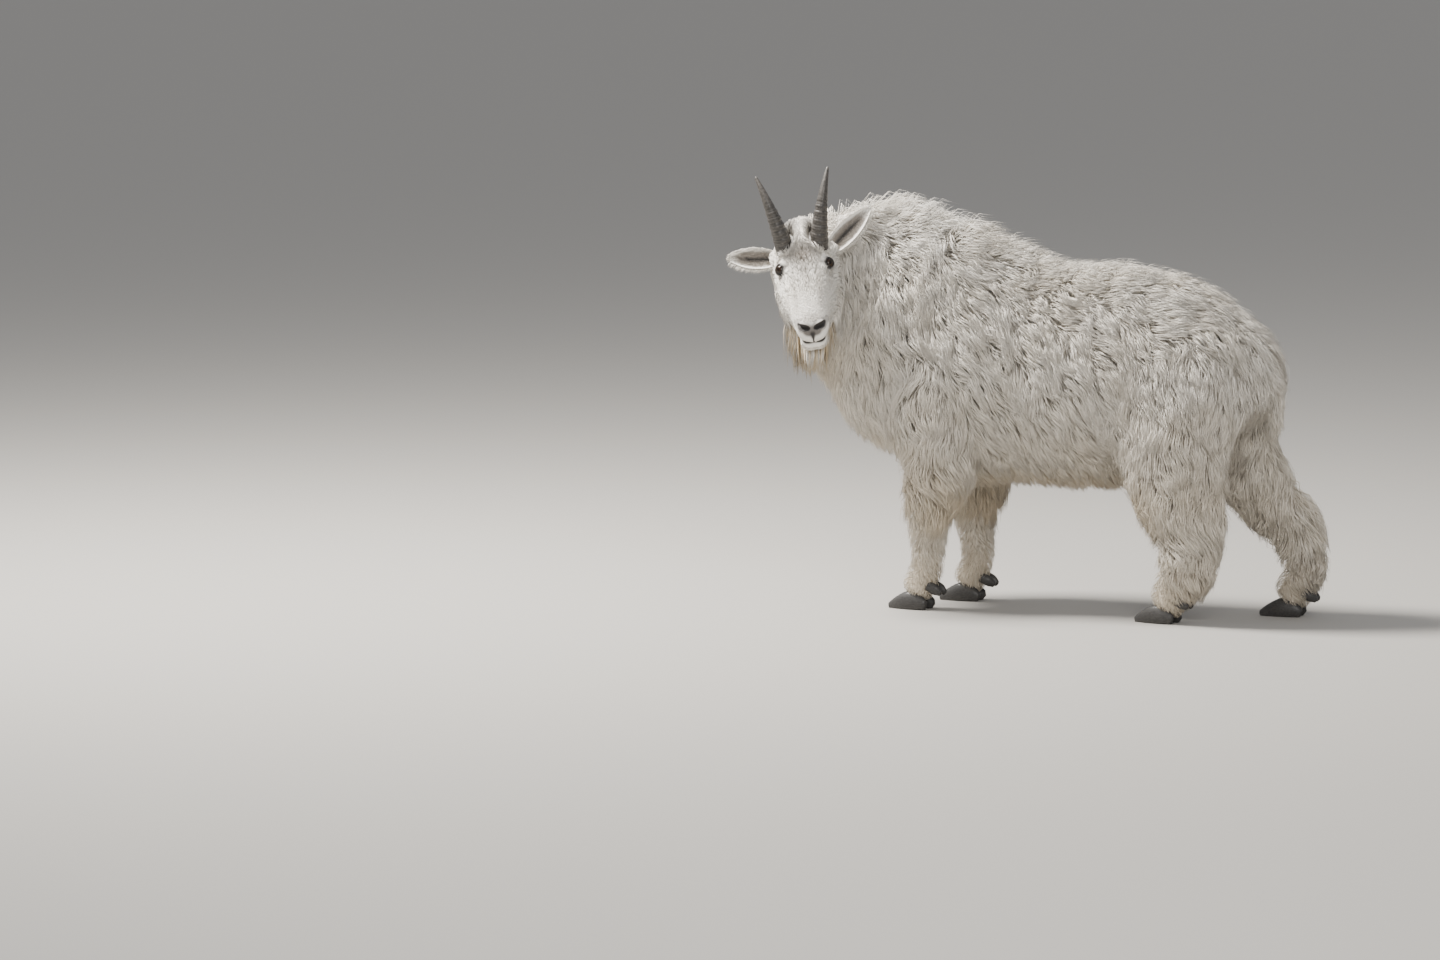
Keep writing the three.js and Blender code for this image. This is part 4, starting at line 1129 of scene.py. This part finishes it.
# The coat: solid tufts rooted on the skin, each walked along it, gathered into locks and shaped as a thin
# three-sided blade. A patch is the skin's area for one tuft. Lengths and heights on the body are shares of
# the forms' coat depth.
coatSettings = {
    "seed": 7,
    "bodyPatch": 21e-6,
    "headPatch": 5.2e-6,
    "earPatch": 9e-6,
    "steps": 2,
    "sunk": 0.0015,
    "pieceTufts": 18000,
    "unwrapPatch": 0.003,
    "aboveFloor": 0.003,
}
lieSettings = {"back": 0.62, "down": 0.78, "crest": 1.2}
chance = np.random.default_rng(coatSettings["seed"])


def nearest(tree, points):
    places, normals = np.empty_like(points), np.empty_like(points)
    for i, point in enumerate(points):
        place, normal = tree.find_nearest(point)[:2]
        places[i], normals[i] = place, normal
    return places, normals


def scatter(data, patch, first, last):
    data.calc_loop_triangles()
    corners = np.empty(len(data.loop_triangles) * 3, int)
    data.loop_triangles.foreach_get("vertices", corners)
    corners = corners.reshape(-1, 3)
    corners = corners[(corners[:, 0] >= first) & (corners[:, 0] < last)]
    points = pointsOf(data)
    normals = np.empty(len(data.vertices) * 3)
    data.vertices.foreach_get("normal", normals)
    normals = normals.reshape(-1, 3)
    a, b, c = [points[corners[:, k]] for k in range(3)]
    areas = 0.5 * np.linalg.norm(np.cross(b - a, c - a), axis=1)
    share = areas / patch
    count = (share + chance.random(len(share))).astype(int)
    chosen = np.repeat(np.arange(len(corners)), count)
    s, t = chance.random((2, len(chosen)))
    flip = s + t > 1
    s, t = np.where(flip, 1 - s, s), np.where(flip, 1 - t, t)
    weights = np.stack([1 - s - t, s, t], axis=1)[:, :, None]
    return (points[corners[chosen]] * weights).sum(1), unitRows((normals[corners[chosen]] * weights).sum(1))


def insideOf(tree, points, margin):
    places, normals = nearest(tree, points)
    return rowDot(points - places, normals)[:, 0] < margin


def headVector(vector):
    return headArray[:3, :3] @ np.array(vector, float)


def bodyLie(points, normals, label, u):
    x = (points - np.array(rowShift))[:, 0]
    back, down = np.array([1.0, 0, 0]), np.array([0, 0, -1.0])
    l = lieSettings
    chest = (1 - smooth(-0.640, -0.520, x))[:, None]
    rump = smooth(0.250, 0.400, x)[:, None]
    crest = smooth(0.3, 0.9, normals[:, 2])[:, None]
    trunk = (back * l["back"] + down * l["down"]) * (1 - chest) * (1 - rump) + down * (chest + 1.5 * rump)
    trunk = trunk + back * l["crest"] * crest * (1 - chest) * (1 - rump)
    neckAhead = stationAt(bodyForms["neck"]["stations"]["ahead"], u)
    neck = -0.8 * neckAhead + down * (1.1 - smooth(0.2, 0.9, normals[:, 2]))[:, None]
    limb = down + 0.12 * back
    way = np.where((label == formNames.index("torso"))[:, None], trunk, limb)
    return np.where((label == formNames.index("neck"))[:, None], neck, way)


def beardAmount(local):
    x, y, z = local.T
    wide = 0.030 + 0.026 * smooth(0.17, 0.10, x)
    place = smooth(-0.068, -0.080, z) * smooth(-0.01, 0.03, x) * smooth(0.186, 0.178, x)
    return place * smooth(wide, 0.7 * wide, np.abs(y))


# Hair turns away round the eyes and the horns: reach and strength
parting = {"eye": (0.020, 2.2), "horn": (0.034, 1.4)}


def headLie(points):
    local = toHead(points)
    x, y, z = local.T
    down = np.array([0, 0, -1.0])
    cheek = smooth(-0.005, -0.05, z) * smooth(0.15, 0.06, x)
    way = headVector((-1, 0, 0)) * (1 - 0.8 * cheek)[:, None]
    way = way + down * (0.2 + 0.8 * cheek)[:, None]
    way = way + headVector((0, 1, 0)) * (0.45 * cheek * np.sign(y) * smooth(0.0, 0.03, np.abs(y)))[:, None]
    beard = beardAmount(local)[:, None]
    way = way * (1 - beard) + down * beard
    for side in (1, -1):
        centre, out = eyeFrame(side)[:2]
        offset = local - (centre + out * eyeSettings["radius"])
        fromEye = unitRows(offset - out * (offset @ out)[:, None])
        fromHorn = local - hornPath(side, np.array([0.12]))[0][0]
        for name, offset, away in (("eye", offset, fromEye), ("horn", fromHorn, unitRows(fromHorn))):
            reach, strength = parting[name]
            near = bell(np.linalg.norm(offset, axis=1) / reach)
            way = way + (away @ headArray[:3, :3].T) * (strength * near)[:, None]
    return way


def swirl(points, normals, way, turn, stray):
    x, y, z = points.T
    field = np.sin(24 * x + 4 * np.sin(19 * z + 2 * y) + 1.3)
    field = field + np.sin(31 * z + 3 * np.sin(21 * x - 13 * y) + 2.1)
    angle = (0.5 * turn * field)[:, None]
    way = unitRows(way)
    way = way * np.cos(angle) + np.cross(normals, way) * np.sin(angle)
    return way + stray * chance.normal(0, 1, way.shape)


def walkTufts(tree, tufts):
    steps = coatSettings["steps"]
    roots, normals = tufts["root"], tufts["normal"]
    free = tufts["free"][:, None]
    way = unitRows(tufts["way"] - normals * rowDot(tufts["way"], normals) * (1 - free))
    here, up = roots.copy(), normals
    path = [roots - normals * coatSettings["sunk"]]
    down = np.array([0, 0, -1.0])
    for step in range(1, steps + 1):
        s = step / steps
        rise = tufts["height"] * np.sin(0.5 * pi * min(1, 1.15 * s)) ** 0.85
        way = unitRows(way + down * (0.9 * free / steps) * step)
        target = here + way * (tufts["length"] / steps)[:, None]
        places, up = nearest(tree, target)
        signed = rowDot(target - places, up)
        lying = places + up * rise[:, None]
        hanging = target + up * np.maximum(0.5 * rise[:, None] - signed, 0)
        path.append(lying * (1 - free) + hanging * free)
        here = places * (1 - free) + hanging * free
        way = unitRows(way - up * rowDot(way, up) * (1 - free))
    return np.stack(path, axis=1)


def gather(path, perLock, amount, reach):
    count = len(path)
    leaders = np.flatnonzero(chance.random(count) < 1 / perLock)
    tree = makeTree(path[leaders, 0])
    found = [tree.find(point) for point in path[:, 0]]
    index = leaders[np.array([hit[1] for hit in found])]
    near = 1 - smooth(reach, 2 * reach, np.array([hit[2] for hit in found]))
    along = np.linspace(0, 1, path.shape[1])
    pull = near[:, None] * amount[:, None] * smooth(0.15, 1.0, along)[None, :]
    return path + (path[index] - path) * pull[:, :, None], index


def waves(path, tufts, leader, size):
    along = np.linspace(0, 1, path.shape[1])[None, :]
    phase = tufts["lot"][leader][:, None] * 2 * pi
    side = unitRows(np.cross(tufts["normal"], path[:, -1] - path[:, 0]))
    swing = np.sin(phase + 4.2 * along) - np.sin(phase)
    return path + side[:, None] * (swing * along * (size * tufts["length"])[:, None])[:, :, None]


# A blade is a ring of three corners at each step of its path and a tip
bladeSettings = {"corners": 3, "widths": (0.85, 1.0), "flatness": 0.55}


def bladeCorners(path, tufts, chosen):
    steps = coatSettings["steps"]
    tangent = np.empty_like(path)
    tangent[:, 1:-1] = path[:, 2:] - path[:, :-2]
    tangent[:, 0], tangent[:, -1] = path[:, 1] - path[:, 0], path[:, -1] - path[:, -2]
    tangent = unitRows(tangent)
    roll = tufts["roll"][chosen][:, None, None]
    wide = unitRows(np.cross(tangent, tufts["normal"][chosen][:, None, :] + 1e-4))
    over = unitRows(np.cross(wide, tangent))
    wide, over = wide * np.cos(roll) + over * np.sin(roll), over * np.cos(roll) - wide * np.sin(roll)
    half = (tufts["width"][chosen][:, None] * np.array(bladeSettings["widths"]))[:, :, None, None]
    ring = (np.arange(bladeSettings["corners"]) * 2 * pi / bladeSettings["corners"] + pi / 2)[:, None]
    corner = path[:, :steps, None] + wide[:, :steps, None] * (half * np.cos(ring))
    corner = corner + over[:, :steps, None] * (bladeSettings["flatness"] * half * np.sin(ring))
    points = np.concatenate([corner.reshape(len(path), -1, 3), path[:, -1:]], axis=1)
    points[:, :, 2] = np.maximum(points[:, :, 2], coatSettings["aboveFloor"])
    return points


def bladeFaces():
    steps, n = coatSettings["steps"], bladeSettings["corners"]
    turns = [(k, (k + 1) % n) for k in range(n)]
    walls = [(n * j + a, n * j + b, n * j + n + b, n * j + n + a) for j in range(steps - 1) for a, b in turns]
    tips = [(n * (steps - 1) + a, n * (steps - 1) + b, n * steps) for a, b in turns]
    return [*walls, *tips, tuple(reversed(range(n)))]


def addBlades(name, path, tufts, chosen):
    steps, n = coatSettings["steps"], bladeSettings["corners"]
    count, each = len(chosen), n * steps + 1
    faces = bladeFaces()
    pattern = np.concatenate([np.array(face) for face in faces])
    starts = np.concatenate([[0], np.cumsum([len(face) for face in faces])[:-1]])
    every = np.arange(count)[:, None]
    loops = (pattern[None] + each * every).ravel()
    data = bpy.data.meshes.new(name)
    data.vertices.add(count * each)
    data.vertices.foreach_set("co", bladeCorners(path[chosen], tufts, chosen).ravel())
    data.loops.add(len(loops))
    data.loops.foreach_set("vertex_index", loops)
    data.polygons.add(count * len(faces))
    data.polygons.foreach_set("loop_start", (starts[None] + len(pattern) * every).ravel())
    data.update(calc_edges=True)
    data.shade_smooth()
    paint(data, np.repeat(tufts["tone"][chosen], each, axis=0))
    across = np.append(np.tile(np.arange(n), steps), 1.0)
    along = np.append(np.repeat(np.arange(steps), n), steps) / steps
    strand = np.empty((count, each, 3))
    strand[:, :, 0], strand[:, :, 1] = across, along
    strand[:, :, 2] = tufts["lot"][chosen][:, None]
    layer = data.attributes.new("strand", "FLOAT_VECTOR", "POINT")
    layer.data.foreach_set("vector", strand.ravel())
    spot = np.stack([across / n - 0.33, along - 0.5], axis=1) * coatSettings["unwrapPatch"]
    uv = (tufts["uv"][chosen][:, None] + spot[None]).reshape(-1, 2)
    layer = data.uv_layers.new(name="OFBake")
    layer.data.foreach_set("uv", np.clip(uv, 0, 1)[loops].ravel())
    data.materials.append(fur)
    piece = addObject(name, data)
    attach(piece, "root")


def addCoat(name, path, tufts, order):
    groups = np.array_split(np.argsort(order, kind="stable"), len(order) // coatSettings["pieceTufts"] + 1)
    for index, chosen in enumerate(groups):
        addBlades(f"{name}_{index + 1}", path, tufts, chosen)


# The body's hair: how much longer or higher it is on each zone, and how free of the skin it hangs there
bodyCoat = {
    "height": 0.62,
    "heightSpread": 0.30,
    "higher": {"hump": 0.30, "crest": 0.25},
    "length": 1.45,
    "limbLength": 1.4,
    "longer": {"chest": 0.25, "pants": 0.25, "under": -0.2, "hump": -0.15},
    "tailLength": 2.4,
    "free": {"under": 0.75, "chest": 0.45, "pants": 0.6, "tail": 0.6},
    "wild": {"share": 0.16, "higher": 1.25, "longer": 1.12, "narrower": 0.5},
    "width": (0.0005, 0.0078, 0.0004),
    "turn": 0.50,
    "stray": 0.13,
    "locks": (20, 0.020),
    "clumps": (150, 0.05, 0.30),
    "waves": 0.09,
}


def weighted(weights, zones):
    return sum(weight * zones[name] for name, weight in weights.items())


def bodyZones(p, normals, label):
    trunk = (label == formNames.index("torso")) | (label == formNames.index("neck"))
    limb = np.array(["leg" in name for name in formNames])[label]
    crest = smooth(0.55, 0.95, normals[:, 2]) * trunk
    return {
        "limb": limb,
        "crest": crest,
        "hump": crest * smooth(0.1, -0.35, p[:, 0]),
        "under": smooth(-0.25, -0.75, normals[:, 2]) * trunk,
        "chest": (1 - smooth(-0.64, -0.52, p[:, 0])) * trunk,
        "pants": limb * smooth(0.0, 0.8, normals[:, 0]) * smooth(0.15, 0.25, p[:, 2]),
        "tail": label == formNames.index("tail"),
    }


def bodyTufts():
    b = bodyCoat
    roots, normals = scatter(skinData, coatSettings["bodyPatch"], 0, headStart)
    keep = ~insideOf(headTree, roots, 0.004)
    roots, normals = roots[keep], normals[keep]
    label, u, _, uv = locate(roots)
    count = len(roots)
    depth = np.zeros(count)
    for index, name in enumerate(formNames):
        mine = label == index
        if mine.any():
            depth[mine] = stationAt(allForms[name]["sizes"], u[mine])[:, 3]
    zones = bodyZones(roots - np.array(rowShift), normals, label)
    spread = chance.normal(1, 0.16, count).clip(0.6, 1.4)
    height = depth * (b["height"] + b["heightSpread"] * chance.random(count))
    height = height * (1 + weighted(b["higher"], zones))
    length = depth * np.where(zones["limb"], b["limbLength"], b["length"]) * spread
    length = length * (1 + weighted(b["longer"], zones))
    wild = chance.random(count) < b["wild"]["share"]
    height = height * np.where(wild, b["wild"]["higher"], 1)
    length = length * np.where(wild, b["wild"]["longer"], 1)
    thin, byDepth, widthSpread = b["width"]
    turn = b["turn"] * (1 - 0.5 * zones["crest"])
    tufts = {
        "root": roots,
        "normal": normals,
        "way": swirl(roots, normals, bodyLie(roots, normals, label, u), turn, b["stray"]),
        "height": height,
        "length": np.where(zones["tail"], depth * b["tailLength"], length),
        "free": np.clip(weighted(b["free"], zones), 0, 0.85),
        "width": (thin + byDepth * depth + widthSpread * chance.random(count))
        * np.where(wild, b["wild"]["narrower"], 1),
        "roll": chance.normal(0, 0.5, count),
        "lot": chance.random(count),
        "tone": bodyMarkingsAndPaintedLight(roots) * chance.normal(1, 0.035, (count, 1)),
        "uv": uv,
    }
    path = walkTufts(bodyTree, tufts)
    amount = np.clip(chance.normal(0.52, 0.18, count), 0.1, 0.9) * smooth(0.012, 0.04, depth)
    amount = amount * np.where(wild, 0.25, 1) * (1 - 0.55 * np.maximum(zones["crest"], zones["hump"]))
    perLock, reach = b["locks"]
    path, leader = gather(path, perLock, amount, reach)
    perClump, reach, pull = b["clumps"]
    path = gather(path, perClump, pull * smooth(0.02, 0.05, depth), reach)[0]
    addCoat("coat_body", waves(path, tufts, leader, b["waves"]), tufts, label * 10.0 + roots[:, 0])
    return count


def splitTree(first, last):
    faces = [tuple(face.vertices) for face in skinData.polygons if first <= face.vertices[0] < last]
    return BVHTree.FromPolygons([Vector(point) for point in skinPoints], faces)


bodyTree = splitTree(0, headStart)
headTree = splitTree(headStart, len(skinPoints))
print("goat: body coat,", bodyTufts(), "tufts")

# The head's hair in metres: its length, height and how free it hangs, each with what the zones add
headCoat = {
    "length": 0.018,
    "longer": {
        "crown": 0.014,
        "cheek": 0.018,
        "ruff": 0.024,
        "jaw": 0.014,
        "short": -0.012,
        "eye": -0.007,
        "chin": 0.004,
    },
    "height": 0.0060,
    "higher": {
        "crown": 0.012,
        "cheek": 0.008,
        "ruff": 0.017,
        "jaw": 0.008,
        "flat": -0.0028,
        "short": -0.0045,
        "eye": -0.003,
    },
    "free": {"cheek": 0.1, "ruff": 0.35, "jaw": 0.3},
    "nearRuff": 2.7,
    "beard": {"length": 0.066, "longer": 0.078, "height": 0.010, "free": 0.95, "pale": 0.3},
    "locks": (12, 0.010),
    "waves": 0.05,
}


def headZones(local):
    x, y, z = local.T
    ruff = smooth(0.165, 0.09, x) * smooth(0.0, -0.04, z) * smooth(0.015, 0.042, np.abs(y))
    return {
        "crown": smooth(0.0, 0.04, z) * smooth(0.0, -0.05, x),
        "cheek": smooth(0.10, 0.0, x) * smooth(0.03, -0.04, z),
        "short": smooth(0.07, 0.15, x),
        "eye": bell(nearEyes(local) / 0.026),
        "jaw": smooth(-0.045, -0.075, z) * smooth(0.17, 0.10, x),
        "ruff": ruff * np.where(y > 0, headCoat["nearRuff"], 1.0),  # the turned neck pushes this side out
        "flat": smooth(-0.04, 0.01, x) * smooth(-0.030, 0.0, z),
        "chin": smooth(0.155, 0.17, x) * smooth(-0.055, -0.065, z),
    }


def bareFace(local):
    x, _, z = local.T
    bare = (nearEyes(local) < eyeSettings["radius"] + 0.0065) | (nostrilAmount(local, 1.5) > 0.2)
    bare |= (x > 0.168) & (z > -0.057) & (z < 0.006)
    for side in (1, -1):
        middle = hornPath(side, np.linspace(0, 0.3, 7))[0]
        reach = np.min(np.linalg.norm(local[:, None] - middle[None], axis=2), axis=1)
        bare |= reach < hornSettings["radius"] * 1.04
    return bare


def headTufts():
    h, beard = headCoat, headCoat["beard"]
    roots, normals = scatter(skinData, coatSettings["headPatch"], headStart, len(skinPoints))
    keep = ~bareFace(toHead(roots)) & ~insideOf(bodyTree, roots, 0.002)
    roots, normals = roots[keep], normals[keep]
    local, uv = toHead(roots), locate(roots)[3]
    x = local[:, 0]
    count = len(roots)
    zones = headZones(local)
    length = h["length"] + weighted(h["longer"], zones)
    height = (h["height"] + weighted(h["higher"], zones)).clip(0.0012, 1)
    spread = chance.normal(1, 0.15, count).clip(0.6, 1.4)
    full = beardAmount(local) > 0.5
    beardLength = beard["length"] + beard["longer"] * smooth(0.18, 0.07, x)
    length = np.where(full, beardLength, length) * spread
    height = np.where(full, beard["height"], height * (0.75 + 0.4 * chance.random(count)))
    roll, lot = chance.normal(0, 0.4, count), chance.random(count)
    pale = full & (chance.random(count) < beard["pale"])
    tone = np.where(pale[:, None], tones["white"], headMarkingsAndPaintedShade(roots))
    tufts = {
        "root": roots,
        "normal": normals,
        "way": headLie(roots),
        "height": height,
        "length": length,
        "free": np.where(full, beard["free"], weighted(h["free"], zones)).clip(0, 0.9),
        "width": 0.0006 + 0.020 * length.clip(0, 0.05),
        "roll": roll,
        "lot": lot,
        "tone": tone * chance.normal(0.92, 0.07, (count, 1)),
        "uv": uv,
    }
    path = walkTufts(headTree, tufts)
    amount = np.clip(chance.normal(0.5, 0.15, count), 0.1, 0.85) * smooth(0.008, 0.02, length)
    perLock, reach = h["locks"]
    path, leader = gather(path, perLock, amount, reach)
    addCoat("coat_head", waves(path, tufts, leader, h["waves"]), tufts, x)
    return count


print("goat: head coat,", headTufts(), "tufts")

# Short hair on the ears, longer at their rims; each ear has half of the unwrap
earCoat = {"length": 0.011, "rim": 0.008, "height": 0.0016}


def earTufts(ear, index):
    data, e = ear["piece"].data, earCoat
    roots, normals = scatter(data, coatSettings["earPatch"], 0, len(data.vertices))
    places = pointsOf(data)
    vertTree = makeTree(places)
    found = np.array([vertTree.find(root)[1] for root in roots])
    reach, across, face = ear["axes"]
    offset = roots - ear["start"]
    u = (offset @ reach / (reach @ reach)).clip(0, 1)
    side, over = offset @ across, offset @ face
    halfWidth = earSettings["halfWidth"] * np.sin(pi * (0.2 + 0.8 * u)).clip(0.3, 1)
    rim = smooth(0.4, 0.9, np.abs(side) / halfWidth)
    count = len(roots)
    turn = (np.arctan2(over, side) + pi) / (2 * pi)
    tufts = {
        "root": roots,
        "normal": normals,
        "way": reach / np.linalg.norm(reach) + across * (0.8 * rim * np.sign(side))[:, None],
        "height": e["height"] * (0.7 + 0.6 * chance.random(count)),
        "length": (e["length"] + e["rim"] * rim) * chance.normal(1, 0.2, count).clip(0.5, 1.5),
        "free": 0.8 * rim,
        "width": 0.0006 + 0.0004 * chance.random(count),
        "roll": chance.normal(0, 0.4, count),
        "lot": chance.random(count),
        # the ear's tone, with its painted shade in the cup
        "tone": ear["tone"][found] * chance.normal(1, 0.04, (count, 1)),
        "uv": np.stack([0.02 + 0.96 * u, 0.5 * index + 0.02 + 0.46 * turn], axis=1),
    }
    faces = [tuple(face.vertices) for face in data.polygons]
    tree = BVHTree.FromPolygons([Vector(place) for place in places], faces)
    addBlades("coat_ear_" + ear["name"], walkTufts(tree, tufts), tufts, np.arange(count))


for index, ear in enumerate(ears):
    earTufts(ear, index)
print("goat: ear hair done")
